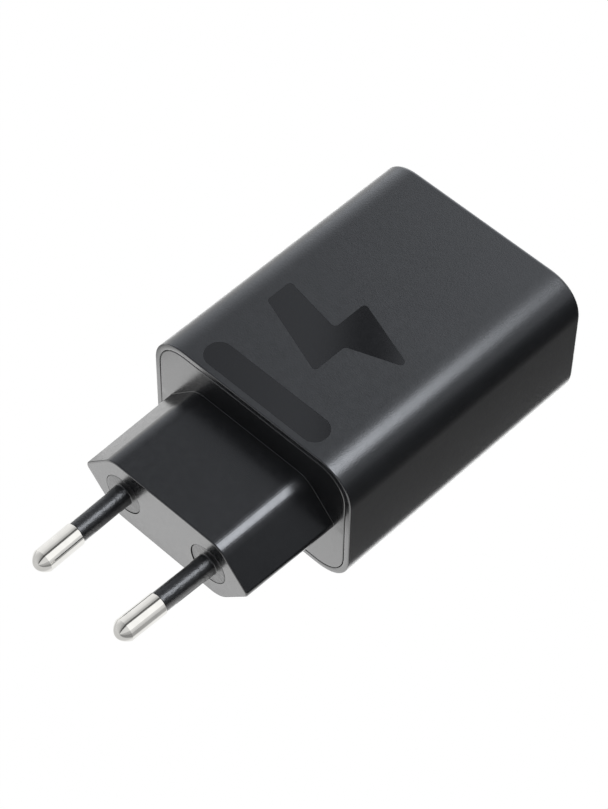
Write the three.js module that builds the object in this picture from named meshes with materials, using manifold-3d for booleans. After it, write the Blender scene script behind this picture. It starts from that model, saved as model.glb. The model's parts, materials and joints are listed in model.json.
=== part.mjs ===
// USB wall charger of the 30 W class with a two-pin European plug, in millimetres.
// +Z is up: the charger lies on its broad back face, the pins point to -Y and the USB ports to +Y.
// z = 0 is the back face, x = 0 the middle of the width, and y = 0 is halfway between the pin tips
// and the port face.
import * as THREE from "three";
import { mergeVertices } from "three/addons/utils/BufferGeometryUtils.js";
import Module from "manifold-3d";

const wasm = await Module();
wasm.setup();

// ---------------------------------------------------------------- driving dimensions

const BODY = {
  width: 42.3,
  thickness: 27.2,
  length: 53.0,
  cornerRadius: 6.6,
  farEdgeRadius: 0.8,
  wall: 2.0,
  endWall: 2.2,
  rim: 1.1, // the front edge of the housing that stays in view around the cap
};
const CAP = {
  seam: 0.2, // the line between the cap and the rim
  plate: 2.0,
  edgeBevel: 0.35,
  skirtDepth: 3.0,
  skirtWall: 1.2,
};
const PLUG = {
  width: 35.8,
  thickness: 13.3,
  flatWidth: 23.4, // the flat top and bottom of the six-sided section
  length: 18.6,
  draft: 0.35, // how much wider each side is where the plug meets the plate
  edgeRadius: 4.4, // where the flats turn into the slanted sides
  sideRadius: 0.9, // the left and right points of the section
  wall: 1.7,
  frontWall: 4.0,
};
const PIN = {
  length: 18.8, // in front of the plug face
  diameter: 4.0,
  baseSpacing: 18.54,
  tipSpacing: 17.74,
  sleeveLength: 10.2,
  sleeveDiameter: 3.6,
  neckDiameter: 2.6, // the metal inside the sleeve
  tailLength: 4.0, // the metal behind the plug's front wall
  domeLength: 1.6,
  collarDiameter: 7.3,
  collarDepth: 1.2,
};
const CONTACT = { width: 3.0, strip: 0.4, footLength: 1.6 };
const BOARD = { thickness: 1.2, standoff: 2.0, ledge: 1.0, lip: 0.3, lipHeight: 1.4 };
const SHEET_THICKNESS = 0.3;

const FUSE = { diameter: 8.2, height: 7.8 };
const THERMISTOR = { diameter: 8.0, thickness: 3.6 };
const X_CAPACITOR = { width: 12.5, depth: 5.5, height: 10.5, cornerRadius: 0.6 };
const CHOKE = { outer: 10.6, inner: 5.4, thickness: 4.2, wire: 0.9, windingAngle: 2.1 };
const BRIDGE = { width: 6.6, depth: 4.8, height: 1.0 };
const BULK = { diameter: 10.0, topGap: 3.0, crimpHeight: 1.6, crimpDepth: 0.4 };
const CORE = { width: 13.4, depth: 5.6, back: 2.3, centreLeg: 4.0, sideLeg: 2.0 };
const BOBBIN = { wall: 0.7, flange: 0.8, clearance: 0.3 };
const WINDING_INSET = 0.6; // how far the winding stays behind the flanges' edges
const SWITCH_CHIP = { width: 6.0, depth: 8.0, height: 0.9 };
const SYNC_CHIP = { width: 5.0, depth: 6.0, height: 0.9 };
const Y_CAPACITOR = { diameter: 7.6, thickness: 3.8 };
const OPTOCOUPLER = { width: 4.6, depth: 6.4, height: 3.5 };
const OUTPUT_CAPACITOR = { diameter: 6.3, height: 9.0, crimpHeight: 1.2, crimpDepth: 0.3 };
const HEAT_SPREADER_THICKNESS = 0.5;
const THERMAL_PAD_THICKNESS = 0.8;

const USB_BOARD = { width: 30.0, thickness: 1.0, topGap: 1.6 };
const USB_CHIP = { side: 4.0, thickness: 0.8 };
const USB_SHELL_LENGTH = 11.0;
const USB_RECESS = 0.4; // the shells' mouths stay this far inside the port face
const PORT_GAP = 3.6; // between the two shells
const USB_A = {
  width: 13.1,
  height: 5.7,
  cornerRadius: 0.7,
  sheet: 0.3,
  tongueWidth: 11.1,
  tongueThickness: 1.84,
  tongueLength: 8.2,
  tongueTopGap: 0.45,
  contactWidth: 1.0,
  contactThickness: 0.25,
  contactLength: 6.8,
  contactPitch: 2.3,
  contactCount: 4,
};
const USB_C = {
  width: 8.94,
  height: 3.2,
  sheet: 0.28,
  tongueWidth: 6.7,
  tongueThickness: 0.7,
  tongueLength: 6.0,
};
const USB_BACK_BLOCK = 2.2; // the plastic block that closes the back of each shell

const FIT = 0.3; // between pieces that slot into each other
const SOLDER = 0.1; // between a component and its board
const ROW_GAP = 0.6; // between neighbouring components
const BOARD_MARGIN = 0.5; // from the board's edge to the nearest component
const OVERSHOOT = 1; // how far a cut runs past the face it opens
const SAME_PLACE = 1e-4; // corners closer than this are one corner

// ---------------------------------------------------------------- places worked out from them

const TOTAL_LENGTH = PIN.length + PLUG.length + BODY.length;
const PIN_TIP_Y = -TOTAL_LENGTH / 2;
const PLUG_FACE_Y = PIN_TIP_Y + PIN.length;
const BODY_FRONT_Y = PLUG_FACE_Y + PLUG.length;
const BODY_FAR_Y = BODY_FRONT_Y + BODY.length;
const MID_Z = BODY.thickness / 2;

const CAVITY_WIDTH = BODY.width - 2 * BODY.wall;
const CAVITY_HEIGHT = BODY.thickness - 2 * BODY.wall;
const CAVITY_RADIUS = BODY.cornerRadius - BODY.wall;
const CAVITY_FAR_Y = BODY_FAR_Y - BODY.endWall;
const CAVITY_TOP_Z = BODY.thickness - BODY.wall;
const CAP_BACK_Y = BODY_FRONT_Y + CAP.plate;
const SKIRT_END_Y = CAP_BACK_Y + CAP.skirtDepth;

const BOARD_BOTTOM_Z = BODY.wall + BOARD.standoff;
const BOARD_TOP_Z = BOARD_BOTTOM_Z + BOARD.thickness;
const BOARD_FRONT_Y = SKIRT_END_Y + FIT;
const BOARD_WIDTH = 2 * (cavityHalfWidthAt(BOARD_BOTTOM_Z) - FIT);
const BOARD_LEFT_X = -BOARD_WIDTH / 2 + BOARD_MARGIN;
const BOARD_RIGHT_X = BOARD_WIDTH / 2 - BOARD_MARGIN;
const PART_BASE_Z = BOARD_TOP_Z + SOLDER;

const PORT_MOUTH_Y = BODY_FAR_Y - USB_RECESS;
const USB_BOARD_FAR_Y = PORT_MOUTH_Y - USB_SHELL_LENGTH - SOLDER;
const USB_BOARD_NEAR_Y = USB_BOARD_FAR_Y - USB_BOARD.thickness;
const BOARD_FAR_Y = USB_BOARD_FAR_Y; // the ports hang free beyond the main board
const PORT_STACK = USB_A.height + PORT_GAP + USB_C.height;
const USB_C_Z = MID_Z - PORT_STACK / 2 + USB_C.height / 2;
const USB_A_Z = MID_Z + PORT_STACK / 2 - USB_A.height / 2;

// Along the board: the contacts' feet, the input row, the power row, the output row, the USB board.
const INPUT_ROW_Y = BOARD_FRONT_Y + CONTACT.footLength + 2 * ROW_GAP;
const INPUT_ROW_DEPTH = X_CAPACITOR.depth + ROW_GAP + THERMISTOR.thickness;
const POWER_ROW_Y = INPUT_ROW_Y + INPUT_ROW_DEPTH + ROW_GAP;
const OUTPUT_ROW_FAR_Y = USB_BOARD_NEAR_Y - USB_CHIP.thickness - SOLDER - ROW_GAP;
const OUTPUT_ROW_Y = OUTPUT_ROW_FAR_Y - OUTPUT_CAPACITOR.diameter;
const POWER_ROW_DEPTH = OUTPUT_ROW_Y - ROW_GAP - POWER_ROW_Y;
const POWER_ROW_MID_Y = POWER_ROW_Y + POWER_ROW_DEPTH / 2;

const SPREADER_TOP_Z = CAVITY_TOP_Z - FIT;
const SPREADER_BASE_Z = SPREADER_TOP_Z - HEAT_SPREADER_THICKNESS;
const THERMAL_PAD_TOP_Z = SPREADER_BASE_Z - SOLDER;
const TRANSFORMER_TOP_Z = THERMAL_PAD_TOP_Z - THERMAL_PAD_THICKNESS - SOLDER;
const TRANSFORMER_HEIGHT = TRANSFORMER_TOP_Z - PART_BASE_Z;
const TRANSFORMER_X = BOARD_RIGHT_X - CORE.width / 2;
const BULK_HEIGHT = SPREADER_BASE_Z - BULK.topGap - PART_BASE_Z;

const ROUND_SIDES = 20;
const FINE_SIDES = 24;

// Half of the cavity's width at a height in its lower, rounded part or above it.
function cavityHalfWidthAt(z) {
  const drop = Math.max(CAVITY_RADIUS - (z - BODY.wall), 0);
  return CAVITY_WIDTH / 2 - CAVITY_RADIUS + Math.sqrt(CAVITY_RADIUS ** 2 - drop ** 2);
}

// ---------------------------------------------------------------- shapes and solids

// A closed three.js geometry as a manifold-3d solid.
function solid(geometry) {
  const bare = geometry.clone();
  bare.deleteAttribute("normal");
  bare.deleteAttribute("uv");
  const merged = mergeVertices(bare, SAME_PLACE);
  return new wasm.Manifold(
    new wasm.Mesh({
      numProp: 3,
      vertProperties: merged.attributes.position.array,
      triVerts: new Uint32Array(merged.index.array),
    }),
  );
}

// A manifold-3d solid as a three.js geometry.
function geometryOf(shape) {
  const mesh = shape.getMesh();
  const geometry = new THREE.BufferGeometry();
  geometry.setAttribute("position", new THREE.BufferAttribute(mesh.vertProperties, mesh.numProp));
  geometry.setIndex(new THREE.BufferAttribute(mesh.triVerts, 1));
  return geometry;
}

// A box by its middle in x, and by its low and high y and z.
function block(width, x, lowY, highY, lowZ, highZ) {
  const geometry = new THREE.BoxGeometry(width, highY - lowY, highZ - lowZ);
  return geometry.translate(x, (lowY + highY) / 2, (lowZ + highZ) / 2);
}

// A rectangle with round corners about the origin.
function roundedRectangle(width, height, radius) {
  const x = width / 2 - radius;
  const y = height / 2 - radius;
  const shape = new THREE.Shape();
  shape.absarc(x, -y, radius, -Math.PI / 2, 0);
  shape.absarc(x, y, radius, 0, Math.PI / 2);
  shape.absarc(-x, y, radius, Math.PI / 2, Math.PI);
  shape.absarc(-x, -y, radius, Math.PI, 1.5 * Math.PI);
  shape.closePath();
  return shape;
}

// A convex outline through the corners, given anticlockwise, each rounded by its own radius.
function roundedPolygon(corners, radii) {
  const shape = new THREE.Shape();
  corners.forEach((corner, i) => {
    const before = corners[(i + corners.length - 1) % corners.length];
    const after = corners[(i + 1) % corners.length];
    const incoming = new THREE.Vector2().subVectors(corner, before).normalize();
    const outgoing = new THREE.Vector2().subVectors(after, corner).normalize();
    const turn = Math.acos(THREE.MathUtils.clamp(incoming.dot(outgoing), -1, 1));
    const setback = radii[i] * Math.tan(turn / 2);
    const start = corner.clone().addScaledVector(incoming, -setback);
    const inward = new THREE.Vector2(-incoming.y, incoming.x);
    const centre = start.clone().addScaledVector(inward, radii[i]);
    const from = Math.atan2(start.y - centre.y, start.x - centre.x);
    shape.absarc(centre.x, centre.y, radii[i], from, from + turn);
  });
  shape.closePath();
  return shape;
}

// The plug's six-sided section, moved inwards by inset.
function plugSection(inset) {
  const half = PLUG.width / 2;
  const flat = PLUG.flatWidth / 2;
  const high = PLUG.thickness / 2;
  const slant = Math.hypot(half - flat, high);
  const point = half - (inset * slant) / high; // the side walls move in along their normals
  const level = high - inset;
  const slope = (half - flat) / high;
  const shoulder = point - slope * level;
  const corners = [
    new THREE.Vector2(point, 0),
    new THREE.Vector2(shoulder, level),
    new THREE.Vector2(-shoulder, level),
    new THREE.Vector2(-point, 0),
    new THREE.Vector2(-shoulder, -level),
    new THREE.Vector2(shoulder, -level),
  ];
  const edge = Math.max(PLUG.edgeRadius - inset, PLUG.sideRadius);
  return roundedPolygon(corners, [PLUG.sideRadius, edge, edge, PLUG.sideRadius, edge, edge]);
}

// A section drawn in x and z, centred on the mid-plane, run along y. Bevels stay inside the section.
function alongY(section, lowY, highY, z = MID_Z, bevel = 0) {
  const geometry = new THREE.ExtrudeGeometry(section, {
    depth: highY - lowY - 2 * bevel,
    curveSegments: 6,
    bevelEnabled: bevel > 0,
    bevelSize: bevel,
    bevelThickness: bevel,
    bevelOffset: -bevel,
    bevelSegments: 2,
  });
  return geometry.rotateX(Math.PI / 2).translate(0, highY - bevel, z);
}

// The plug grows wider in x towards the plate, evenly along its length.
function withDraft(geometry) {
  const place = geometry.attributes.position;
  for (let i = 0; i < place.count; i++) {
    const along = (place.getY(i) - PLUG_FACE_Y) / PLUG.length;
    place.setX(i, place.getX(i) * (1 + (along * PLUG.draft) / (PLUG.width / 2)));
  }
  return geometry;
}

// A section drawn in x and y, run upwards.
function alongZ(section, lowZ, highZ, x, y) {
  const geometry = new THREE.ExtrudeGeometry(section, {
    depth: highZ - lowZ,
    curveSegments: 6,
    bevelEnabled: false,
  });
  return geometry.translate(x, y, lowZ);
}

// A round rod along y.
function rodY(diameter, lowY, highY, x, z, sides = ROUND_SIDES) {
  const geometry = new THREE.CylinderGeometry(diameter / 2, diameter / 2, highY - lowY, sides);
  return geometry.translate(0, (lowY + highY) / 2, 0).translate(x, 0, z);
}

// A can turned about z from its outline of radius and height, standing on the board.
function standingCan(can, height, x, y) {
  const radius = can.diameter / 2;
  const waist = radius - can.crimpDepth;
  const edge = can.crimpDepth;
  const outline = [
    new THREE.Vector2(0, 0),
    new THREE.Vector2(radius, 0),
    new THREE.Vector2(radius, can.crimpHeight - edge),
    new THREE.Vector2(waist, can.crimpHeight),
    new THREE.Vector2(radius, can.crimpHeight + edge),
    new THREE.Vector2(radius, height - edge),
    new THREE.Vector2(waist, height),
    new THREE.Vector2(0, height),
  ];
  const geometry = new THREE.LatheGeometry(outline, ROUND_SIDES);
  return geometry.rotateX(Math.PI / 2).translate(x, y, PART_BASE_Z);
}

// ---------------------------------------------------------------- materials and naming

function plastic(color, roughness = 0.5) {
  return new THREE.MeshStandardMaterial({ color, roughness, metalness: 0 });
}

function metal(color, roughness = 0.25) {
  return new THREE.MeshStandardMaterial({ color, roughness, metalness: 1 });
}

const charger = new THREE.Group();

function addPiece(name, geometry, material, parent = charger) {
  const piece = new THREE.Mesh(geometry, material);
  piece.name = name;
  parent.add(piece);
}

// ---------------------------------------------------------------- casing

// The bucket-shaped housing: one open end for the cap, and the two port cut-outs in the other.
function addHousing() {
  const outline = roundedRectangle(BODY.width, BODY.thickness, BODY.cornerRadius);
  const blank = BODY_FRONT_Y - 2 * BODY.farEdgeRadius; // longer than the body, then trimmed
  const body = solid(alongY(outline, blank, BODY_FAR_Y, MID_Z, BODY.farEdgeRadius));
  const above = BODY.thickness + OVERSHOOT;
  const trim = block(2 * BODY.width, 0, blank - OVERSHOOT, BODY_FRONT_Y, -OVERSHOOT, above);
  const inside = roundedRectangle(CAVITY_WIDTH, CAVITY_HEIGHT, CAVITY_RADIUS);
  const cavity = alongY(inside, BODY_FRONT_Y - OVERSHOOT, CAVITY_FAR_Y);
  const seat = alongY(capOutline(CAP.seam), BODY_FRONT_Y - OVERSHOOT, CAP_BACK_Y + CAP.seam);
  const portA = usbAOutline(FIT);
  const portC = usbCOutline(FIT);
  const cutStart = CAVITY_FAR_Y - OVERSHOOT;
  const cutEnd = BODY_FAR_Y + OVERSHOOT;
  let shell = body
    .subtract(solid(trim))
    .subtract(solid(cavity))
    .subtract(solid(seat))
    .subtract(solid(alongY(portA, cutStart, cutEnd, USB_A_Z)))
    .subtract(solid(alongY(portC, cutStart, cutEnd, USB_C_Z)));
  boardRails().forEach((rail) => {
    shell = shell.add(solid(rail));
  });
  addPiece("housing_shell", geometryOf(shell), plastic(0x3b3c3e, 0.55));
}

// A ledge under each long edge of the board, and a lip above it.
function boardRails() {
  const outerX = CAVITY_WIDTH / 2 + BODY.wall / 2;
  const ledgeX = BOARD_WIDTH / 2 - BOARD.ledge;
  const lipX = BOARD_WIDTH / 2 - BOARD.lip;
  const overBoard = BOARD_TOP_Z + SOLDER;
  const rail = (side, innerX, low, high) =>
    block(outerX - innerX, (side * (outerX + innerX)) / 2, BOARD_FRONT_Y, CAVITY_FAR_Y + FIT, low, high);
  const rails = [];
  for (const side of [-1, 1]) {
    rails.push(rail(side, ledgeX, BODY.wall + CAVITY_RADIUS / 4, BOARD_BOTTOM_Z - SOLDER));
    rails.push(rail(side, lipX, overBoard, overBoard + BOARD.lipHeight));
  }
  return rails;
}

// The cap's outline, or the seat around it when it is grown by a clearance.
function capOutline(growth) {
  const inset = BODY.rim + CAP.seam - growth;
  return roundedRectangle(
    BODY.width - 2 * inset,
    BODY.thickness - 2 * inset,
    BODY.cornerRadius - inset,
  );
}

// The end plate and the plug's hollow block in one moulding, with a skirt that goes into the housing.
function addFrontCap() {
  const plate = alongY(capOutline(0), BODY_FRONT_Y, CAP_BACK_Y, MID_Z, CAP.edgeBevel);
  const plug = withDraft(alongY(plugSection(0), PLUG_FACE_Y, CAP_BACK_Y - CAP.plate / 2));
  const inside = plugSection(PLUG.wall);
  const hollow = alongY(inside, PLUG_FACE_Y + PLUG.frontWall, CAP_BACK_Y + OVERSHOOT);
  const skirtWidth = CAVITY_WIDTH - 2 * FIT;
  const skirtHeight = CAVITY_HEIGHT - 2 * FIT;
  const skirtRadius = CAVITY_RADIUS - FIT;
  const outer = roundedRectangle(skirtWidth, skirtHeight, skirtRadius);
  const inner = roundedRectangle(
    skirtWidth - 2 * CAP.skirtWall,
    skirtHeight - 2 * CAP.skirtWall,
    skirtRadius - CAP.skirtWall,
  );
  const ring = solid(alongY(outer, CAP_BACK_Y - CAP.plate / 2, SKIRT_END_Y)).subtract(
    solid(alongY(inner, CAP_BACK_Y, SKIRT_END_Y + OVERSHOOT)),
  );
  let cap = solid(plate).add(solid(plug)).add(ring).subtract(solid(hollow));
  for (const side of [-1, 1]) {
    cap = cap.subtract(pinOpening(side));
  }
  addPiece("front_cap", geometryOf(cap), plastic(0x2c2d2f, 0.38));
}

// ---------------------------------------------------------------- pins

// A pin's own frame: its axis along y, with y = 0 on the plug face, leaning in towards the tip.
function pinFrame(side) {
  const lean = Math.atan((PIN.baseSpacing - PIN.tipSpacing) / 2 / PIN.length);
  const frame = new THREE.Group();
  frame.position.set((side * PIN.baseSpacing) / 2, PLUG_FACE_Y, MID_Z);
  frame.rotation.z = side * lean;
  frame.updateMatrix();
  return frame;
}

// The stepped hole in the plug's front wall: a round seat for the collar and a bore for the neck.
function pinOpening(side) {
  const frame = pinFrame(side);
  const seat = rodY(PIN.collarDiameter + FIT, -1, PIN.collarDepth + SOLDER, 0, 0);
  const bore = rodY(PIN.neckDiameter + 2 * FIT, 0, PLUG.frontWall + OVERSHOOT, 0, 0);
  return solid(seat.applyMatrix4(frame.matrix)).add(solid(bore.applyMatrix4(frame.matrix)));
}

// The metal pin: a domed tip, a thinner neck under the sleeve, and a tail inside the plug.
function pinGeometry() {
  const radius = PIN.diameter / 2;
  const neck = PIN.neckDiameter / 2;
  const shoulderY = -PIN.sleeveLength - SOLDER;
  const outline = new THREE.Path();
  outline.moveTo(0, -PIN.length);
  const flat = radius - PIN.domeLength; // the small flat at the middle of the tip
  outline.lineTo(flat, -PIN.length);
  outline.absarc(flat, -PIN.length + PIN.domeLength, PIN.domeLength, -Math.PI / 2, 0);
  outline.lineTo(radius, shoulderY);
  outline.lineTo(neck, shoulderY);
  outline.lineTo(neck, PLUG.frontWall + PIN.tailLength);
  outline.lineTo(0, PLUG.frontWall + PIN.tailLength);
  return new THREE.LatheGeometry(outline.getPoints(5), FINE_SIDES);
}

// The insulating sleeve with the round collar that sits flush in the plug face.
function sleeveGeometry() {
  const bore = PIN.neckDiameter / 2 + SOLDER;
  const outer = PIN.sleeveDiameter / 2;
  const collar = PIN.collarDiameter / 2;
  const outline = [
    new THREE.Vector2(bore, -PIN.sleeveLength),
    new THREE.Vector2(outer, -PIN.sleeveLength),
    new THREE.Vector2(outer, 0),
    new THREE.Vector2(collar, 0),
    new THREE.Vector2(collar, PIN.collarDepth),
    new THREE.Vector2(bore, PIN.collarDepth),
    new THREE.Vector2(bore, -PIN.sleeveLength),
  ];
  return new THREE.LatheGeometry(outline, FINE_SIDES);
}

function addPins() {
  for (const [side, label] of [[-1, "left"], [1, "right"]]) {
    const frame = pinFrame(side);
    charger.add(frame);
    addPiece("pin_" + label, pinGeometry(), metal(0xd6d6d4, 0.16), frame);
    addPiece("pin_sleeve_" + label, sleeveGeometry(), plastic(0x1d1d1e, 0.42), frame);
  }
}

// A brass strip that rests on each pin's tail and turns down to the board.
function addMainsContacts() {
  const tailEndY = PLUG_FACE_Y + PLUG.frontWall + PIN.tailLength;
  const topOfTail = MID_Z + PIN.neckDiameter / 2;
  const stripBase = topOfTail + FIT;
  const legY = BOARD_FRONT_Y + ROW_GAP;
  const outline = new THREE.Shape();
  outline.moveTo(tailEndY - PIN.tailLength + FIT, stripBase);
  outline.lineTo(legY, stripBase);
  outline.lineTo(legY, PART_BASE_Z);
  outline.lineTo(legY + CONTACT.footLength, PART_BASE_Z);
  outline.lineTo(legY + CONTACT.footLength, PART_BASE_Z + CONTACT.strip);
  outline.lineTo(legY + CONTACT.strip, PART_BASE_Z + CONTACT.strip);
  outline.lineTo(legY + CONTACT.strip, stripBase + CONTACT.strip);
  outline.lineTo(tailEndY - PIN.tailLength + FIT, stripBase + CONTACT.strip);
  outline.closePath();
  for (const [side, label] of [[-1, "left"], [1, "right"]]) {
    const strip = new THREE.ExtrudeGeometry(outline, { depth: CONTACT.width, bevelEnabled: false });
    strip.rotateX(Math.PI / 2).rotateZ(Math.PI / 2); // the drawn x and y become y and z
    strip.translate((side * PIN.baseSpacing) / 2 - CONTACT.width / 2, 0, 0);
    addPiece("mains_contact_" + label, strip, metal(0xc9a24b, 0.3));
  }
}

// ---------------------------------------------------------------- main board and its parts

function addMainBoard() {
  const board = block(BOARD_WIDTH, 0, BOARD_FRONT_Y, BOARD_FAR_Y, BOARD_BOTTOM_Z, BOARD_TOP_Z);
  addPiece("main_board", board, plastic(0x1f5a35, 0.5));
  const sheetBase = BODY.wall + FIT;
  const sheetHalf = Math.min(cavityHalfWidthAt(sheetBase), BOARD_WIDTH / 2 - BOARD.ledge) - FIT;
  const sheetTop = sheetBase + SHEET_THICKNESS;
  const sheet = block(2 * sheetHalf, 0, BOARD_FRONT_Y, BOARD_FAR_Y, sheetBase, sheetTop);
  addPiece("insulating_sheet", sheet, plastic(0xd9d3c0, 0.6));
}

// A flat chip under the board, by its middle.
function addChipBelow(name, chip, x, y) {
  const top = BOARD_BOTTOM_Z - SOLDER;
  const body = block(chip.width, x, y - chip.depth / 2, y + chip.depth / 2, top - chip.height, top);
  addPiece(name, body, plastic(0x18181a, 0.6));
}

// A round disc component on edge, with its lead stub reaching the board.
function discOnEdge(disc, x, nearY) {
  const radius = disc.diameter / 2;
  const stub = radius / 3;
  const body = solid(
    rodY(disc.diameter, nearY, nearY + disc.thickness, x, PART_BASE_Z + stub + radius),
  );
  const foot = block(radius, x, nearY, nearY + disc.thickness, PART_BASE_Z, PART_BASE_Z + stub + radius);
  return geometryOf(body.add(solid(foot)));
}

// The input row, from left to right: the choke, the X capacitor and the fuse, with the thermistor
// and the bridge rectifier behind them.
function addInputRow() {
  const backY = INPUT_ROW_Y + X_CAPACITOR.depth + ROW_GAP;
  const fuseRadius = FUSE.diameter / 2;
  const fuse = new THREE.CylinderGeometry(fuseRadius, fuseRadius, FUSE.height, ROUND_SIDES);
  fuse.rotateX(Math.PI / 2);
  fuse.translate(BOARD_RIGHT_X - fuseRadius, INPUT_ROW_Y + fuseRadius, PART_BASE_Z + FUSE.height / 2);
  addPiece("input_fuse", fuse, plastic(0x3a2a20, 0.45));

  const capacitor = roundedRectangle(
    X_CAPACITOR.width,
    X_CAPACITOR.depth,
    X_CAPACITOR.cornerRadius,
  );
  const capacitorX = BOARD_RIGHT_X - FUSE.diameter - ROW_GAP - X_CAPACITOR.width / 2;
  const capacitorY = INPUT_ROW_Y + X_CAPACITOR.depth / 2;
  const top = PART_BASE_Z + X_CAPACITOR.height;
  const capacitorBody = alongZ(capacitor, PART_BASE_Z, top, capacitorX, capacitorY);
  addPiece("x_capacitor", capacitorBody, plastic(0xd8b22e, 0.45));

  addChoke(BOARD_LEFT_X + CHOKE.outer / 2 + CHOKE.wire, INPUT_ROW_Y + CHOKE.thickness / 2 + CHOKE.wire);

  addPiece("inrush_thermistor", discOnEdge(THERMISTOR, capacitorX, backY), plastic(0x23402b, 0.55));
  addChipBelow("bridge_rectifier", BRIDGE, BOARD_LEFT_X + BRIDGE.width, backY);
}

// A common-mode choke standing on edge: a ring core with a winding on each side.
function addChoke(x, y) {
  const middleRadius = (CHOKE.outer + CHOKE.inner) / 4;
  const z = PART_BASE_Z + CHOKE.wire + CHOKE.outer / 2;
  const coreWidth = (CHOKE.outer - CHOKE.inner) / 2;
  const core = ringPart(middleRadius, coreWidth, CHOKE.thickness, 0, 2 * Math.PI);
  addPiece("choke_core", core.translate(x, y, z), plastic(0x2a5a3c, 0.6));
  const around = ringPart(middleRadius, coreWidth + 2 * FIT, CHOKE.thickness + 2 * FIT, 0, 2 * Math.PI);
  const wrap = 2 * CHOKE.wire;
  for (const [label, facing] of [["left", Math.PI], ["right", 0]]) {
    const start = facing - CHOKE.windingAngle / 2;
    const coil = ringPart(middleRadius, coreWidth + wrap, CHOKE.thickness + wrap, start, CHOKE.windingAngle);
    const winding = solid(coil).subtract(solid(around));
    addPiece("choke_winding_" + label, geometryOf(winding).translate(x, y, z), metal(0xb5652a, 0.35));
  }
}

// A ring with a rectangular section about the y axis, or the part of it that starts at an angle.
function ringPart(middleRadius, radialWidth, thickness, start, sweep) {
  const outer = middleRadius + radialWidth / 2;
  const inner = middleRadius - radialWidth / 2;
  const shape = new THREE.Shape();
  if (sweep < 2 * Math.PI) {
    shape.absarc(0, 0, outer, start, start + sweep);
    shape.absarc(0, 0, inner, start + sweep, start, true);
    shape.closePath();
  } else {
    shape.absarc(0, 0, outer, 0, 2 * Math.PI);
    const hole = new THREE.Path();
    hole.absarc(0, 0, inner, 0, 2 * Math.PI, true);
    shape.holes.push(hole);
  }
  const geometry = new THREE.ExtrudeGeometry(shape, {
    depth: thickness,
    curveSegments: 10,
    bevelEnabled: false,
  });
  return geometry.rotateX(Math.PI / 2).translate(0, thickness / 2, 0);
}

// The power row: two bulk capacitors side by side, and the transformer.
function addPowerRow() {
  const firstX = BOARD_LEFT_X + BULK.diameter / 2;
  const secondX = firstX + BULK.diameter + ROW_GAP;
  for (const [x, label] of [[firstX, "left"], [secondX, "right"]]) {
    const can = standingCan(BULK, BULK_HEIGHT, x, POWER_ROW_MID_Y);
    addPiece("bulk_capacitor_" + label, can, plastic(0x20242c, 0.4));
  }
  addTransformer();
  addChipBelow("power_switch_chip", SWITCH_CHIP, TRANSFORMER_X, POWER_ROW_MID_Y);
}

// Two E-shaped ferrite halves around a bobbin with its winding.
function addTransformer() {
  const halfHeight = TRANSFORMER_HEIGHT / 2 - SOLDER / 2;
  const window = CORE.width / 2 - CORE.sideLeg;
  const leg = CORE.centreLeg / 2;
  const outline = new THREE.Shape();
  outline.moveTo(-CORE.width / 2, 0);
  outline.lineTo(CORE.width / 2, 0);
  outline.lineTo(CORE.width / 2, halfHeight);
  outline.lineTo(window, halfHeight);
  outline.lineTo(window, CORE.back);
  outline.lineTo(leg, CORE.back);
  outline.lineTo(leg, halfHeight);
  outline.lineTo(-leg, halfHeight);
  outline.lineTo(-leg, CORE.back);
  outline.lineTo(-window, CORE.back);
  outline.lineTo(-window, halfHeight);
  outline.lineTo(-CORE.width / 2, halfHeight);
  outline.closePath();
  const ferrite = () => plastic(0x3a3a3d, 0.7);
  const half = () =>
    new THREE.ExtrudeGeometry(outline, { depth: CORE.depth, bevelEnabled: false })
      .rotateX(Math.PI / 2)
      .translate(0, CORE.depth / 2, 0);
  const lower = half().translate(TRANSFORMER_X, POWER_ROW_MID_Y, PART_BASE_Z);
  const upper = half().rotateY(Math.PI).translate(TRANSFORMER_X, POWER_ROW_MID_Y, TRANSFORMER_TOP_Z);
  addPiece("transformer_core_lower", lower, ferrite());
  addPiece("transformer_core_upper", upper, ferrite());

  const lowZ = PART_BASE_Z + CORE.back + BOBBIN.clearance;
  const highZ = TRANSFORMER_TOP_Z - CORE.back - BOBBIN.clearance;
  const holeWidth = CORE.centreLeg + 2 * BOBBIN.clearance;
  const holeDepth = CORE.depth + 2 * BOBBIN.clearance;
  const flangeWidth = 2 * (window - BOBBIN.clearance);
  const flangeDepth = POWER_ROW_DEPTH;
  const at = (width, depth, low, high) =>
    solid(
      block(width, TRANSFORMER_X, POWER_ROW_MID_Y - depth / 2, POWER_ROW_MID_Y + depth / 2, low, high),
    );
  const tube = at(holeWidth + 2 * BOBBIN.wall, holeDepth + 2 * BOBBIN.wall, lowZ, highZ);
  const bobbin = tube
    .add(at(flangeWidth, flangeDepth, lowZ, lowZ + BOBBIN.flange))
    .add(at(flangeWidth, flangeDepth, highZ - BOBBIN.flange, highZ))
    .subtract(at(holeWidth, holeDepth, lowZ - OVERSHOOT, highZ + OVERSHOOT));
  addPiece("transformer_bobbin", geometryOf(bobbin), plastic(0x1f1f21, 0.55));

  const windingWidth = flangeWidth - 2 * WINDING_INSET;
  const windingDepth = flangeDepth - 2 * WINDING_INSET;
  const lowWinding = lowZ + BOBBIN.flange + SOLDER;
  const highWinding = highZ - BOBBIN.flange - SOLDER;
  const around = roundedRectangle(windingWidth, windingDepth, windingWidth / 4);
  const winding = solid(
    alongZ(around, lowWinding, highWinding, TRANSFORMER_X, POWER_ROW_MID_Y),
  ).subtract(
    at(
      holeWidth + 2 * BOBBIN.wall + 2 * SOLDER,
      holeDepth + 2 * BOBBIN.wall + 2 * SOLDER,
      lowZ,
      highZ,
    ),
  );
  addPiece("transformer_winding", geometryOf(winding), plastic(0xe2c33a, 0.4));
}

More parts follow.
